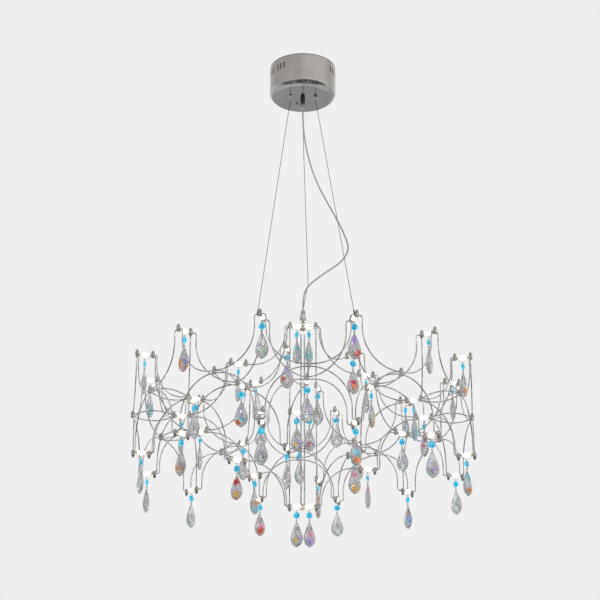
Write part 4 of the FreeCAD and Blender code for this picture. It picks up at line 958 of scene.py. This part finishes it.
def plain_mesh(name, source):
    """What an object's modifiers make, as a plain mesh object at the origin, with its attributes."""
    graph = bpy.context.evaluated_depsgraph_get()
    mesh = bpy.data.meshes.new_from_object(source.evaluated_get(graph), preserve_all_data_layers=True,
                                           depsgraph=graph)
    bpy.data.objects.remove(source)
    mesh.name = name
    return link_object(name, mesh)


def points_object(name, places):
    """One vertex at each sling's lowest point, with the sling's turn and the crystal's twist and tints."""
    mesh = mesh_from(name, [(x * MM, y * MM, (z - SLING_DEPTH) * MM) for (x, y, z), _, _, _ in places], [])
    for label, kind in POINT_MARKS:
        mesh.attributes.new(label, kind, "POINT")
    for i, (_, turn, twist, tints) in enumerate(places):
        mesh.attributes["turn"].data[i].value = math.radians(turn)
        mesh.attributes["twist"].data[i].value = math.radians(twist)
        for which, (tint, spot) in zip("ab", tints):
            mesh.attributes["tint_" + which].data[i].color = (*TINTS[tint], 1.0)
            mesh.attributes["spot_" + which].data[i].vector = [c * MM for c in SPOTS[spot]]
    return link_object(name, mesh)


triangles = 0
for number, (body, places) in enumerate(sorted(drops.items())):
    points = points_object(body + "_points", places)
    hanging = points.modifiers.new("drops", "NODES")
    hanging.node_group = drop_tree
    for label, value in (("Octagon", octagon_template), ("Pear", pear_template), ("Bead", bead_template),
                         ("Seed", FIRST_SEED + number), ("Wire Material", nickel),
                         ("Octagon Material", aqua_crystal), ("Pear Material", aurora_crystal)):
        set_input(hanging, label, value)
    piece = plain_mesh(body + "_crystals", points)
    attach(piece, body)
    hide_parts(body)
    triangles += sum(len(p.vertices) - 2 for p in piece.data.polygons)
print("crystal triangles", triangles)

# %% [markdown]
# ## Lamp glasses
# The lamps are lit, so the glass itself glows: white in the middle, and dim and warm at its two ends,
# where the filament stops. A second small tree sets one lathe-turned glass on every lamp's place.

# %% The lamp glass
HALF_GLASS = 8.2
GLASS_END = ((0.0, HALF_GLASS), (2.0, HALF_GLASS), (2.5, 7.3), (3.0, 6.0), (3.5, 4.4), (3.9, 2.3))
GLASS_PROFILE = [(r, -y) for r, y in GLASS_END] + [(4.0, 0.0)] + list(reversed(GLASS_END))
GLASS_SIDES = 16


def lathe_along_y(name, profile, sides):
    """A turned mesh whose axis is Y, from (radius, y) pairs in mm. It knows how far along each point is."""
    verts, faces = [], []
    angles = [2 * math.pi * k / sides for k in range(sides)]
    for r, y in profile[1:-1]:
        verts += [(r * math.cos(a) * MM, y * MM, r * math.sin(a) * MM) for a in angles]
    rows = len(profile) - 2
    for i in range(rows - 1):
        for k in range(sides):
            n = (k + 1) % sides
            faces.append((i * sides + k, (i + 1) * sides + k, (i + 1) * sides + n, i * sides + n))
    faces.append(list(range(sides)))
    faces.append([(rows - 1) * sides + k for k in reversed(range(sides))])
    mesh = mesh_from(name, verts, faces, smooth=True)
    along = mesh.attributes.new("along", "FLOAT", "POINT")
    for i, v in enumerate(mesh.vertices):
        along.data[i].value = abs(v.co.y) / (HALF_GLASS * MM)
    return faced_outwards(mesh)


lamp_tree, given, result = new_tree("light_lamps", (("Glass", OBJECT, None), ("Material", MATERIAL, None)))
glass = object_geometry(lamp_tree, given.outputs["Glass"])
lit = put(lamp_tree, "GeometryNodeInstanceOnPoints", Points=given.outputs["Geometry"], Instance=glass,
          Rotation=about_z(lamp_tree, attribute_in(lamp_tree, "turn")))
lit = put(lamp_tree, "GeometryNodeRealizeInstances", Geometry=lit)
lit = put(lamp_tree, "GeometryNodeSetMaterial", Geometry=lit, Material=given.outputs["Material"])
lamp_tree.links.new(lit, result.inputs[0])

lamp_points = points_object("lamp_points", [((x, y, z + SLING_DEPTH), turn, twist, tints)
                                            for (x, y, z), turn, twist, tints in lamps])
lighting = lamp_points.modifiers.new("lamps", "NODES")
lighting.node_group = lamp_tree
glass_template = template("lamp_glass", lathe_along_y("lamp_glass", GLASS_PROFILE, GLASS_SIDES))
set_input(lighting, "Glass", glass_template)
set_input(lighting, "Material", glowing_glass)
lamp_glasses = plain_mesh("lamp_glasses", lamp_points)
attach(lamp_glasses, "frame")
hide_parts("lamp_bulbs")
print("lamp glasses", len(lamp_glasses.data.polygons), "faces")

# %% [markdown]
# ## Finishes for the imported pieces
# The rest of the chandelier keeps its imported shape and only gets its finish.

# %% Each node's material
FINISHES = {
    chrome: ("canopy_shell",),
    zinc: ("ceiling_bracket", "pan_head_screws", "canopy_nuts"),
    nickel: ("outer_skin_wires", "inner_skin_wires", "link_wires", "spoke_wires", "hub_wires", "centre_posts",
             "centre_terminals", "slings", "cable_cone", "gripper_bodies", "canopy_screws"),
    # The plunger tips carry a painted highlight, and the lamp caps a painted glow.
    bright_tip: ("gripper_plunger_left", "gripper_plunger_right", "gripper_plunger_rear"),
    dark_nickel: ("ferrules", "junction_collars"),
    lit_cap: ("lamp_caps",),
    steel: ("suspension_wires",),
    white_plastic: ("transformer",),
    dark_plastic: ("terminal_block", "cable_gland"),
}
for material, names in FINISHES.items():
    for name in names:
        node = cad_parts[name]
        node.data.materials.clear()
        node.data.materials.append(material)
print("finished nodes", sum(len(names) for names in FINISHES.values()))
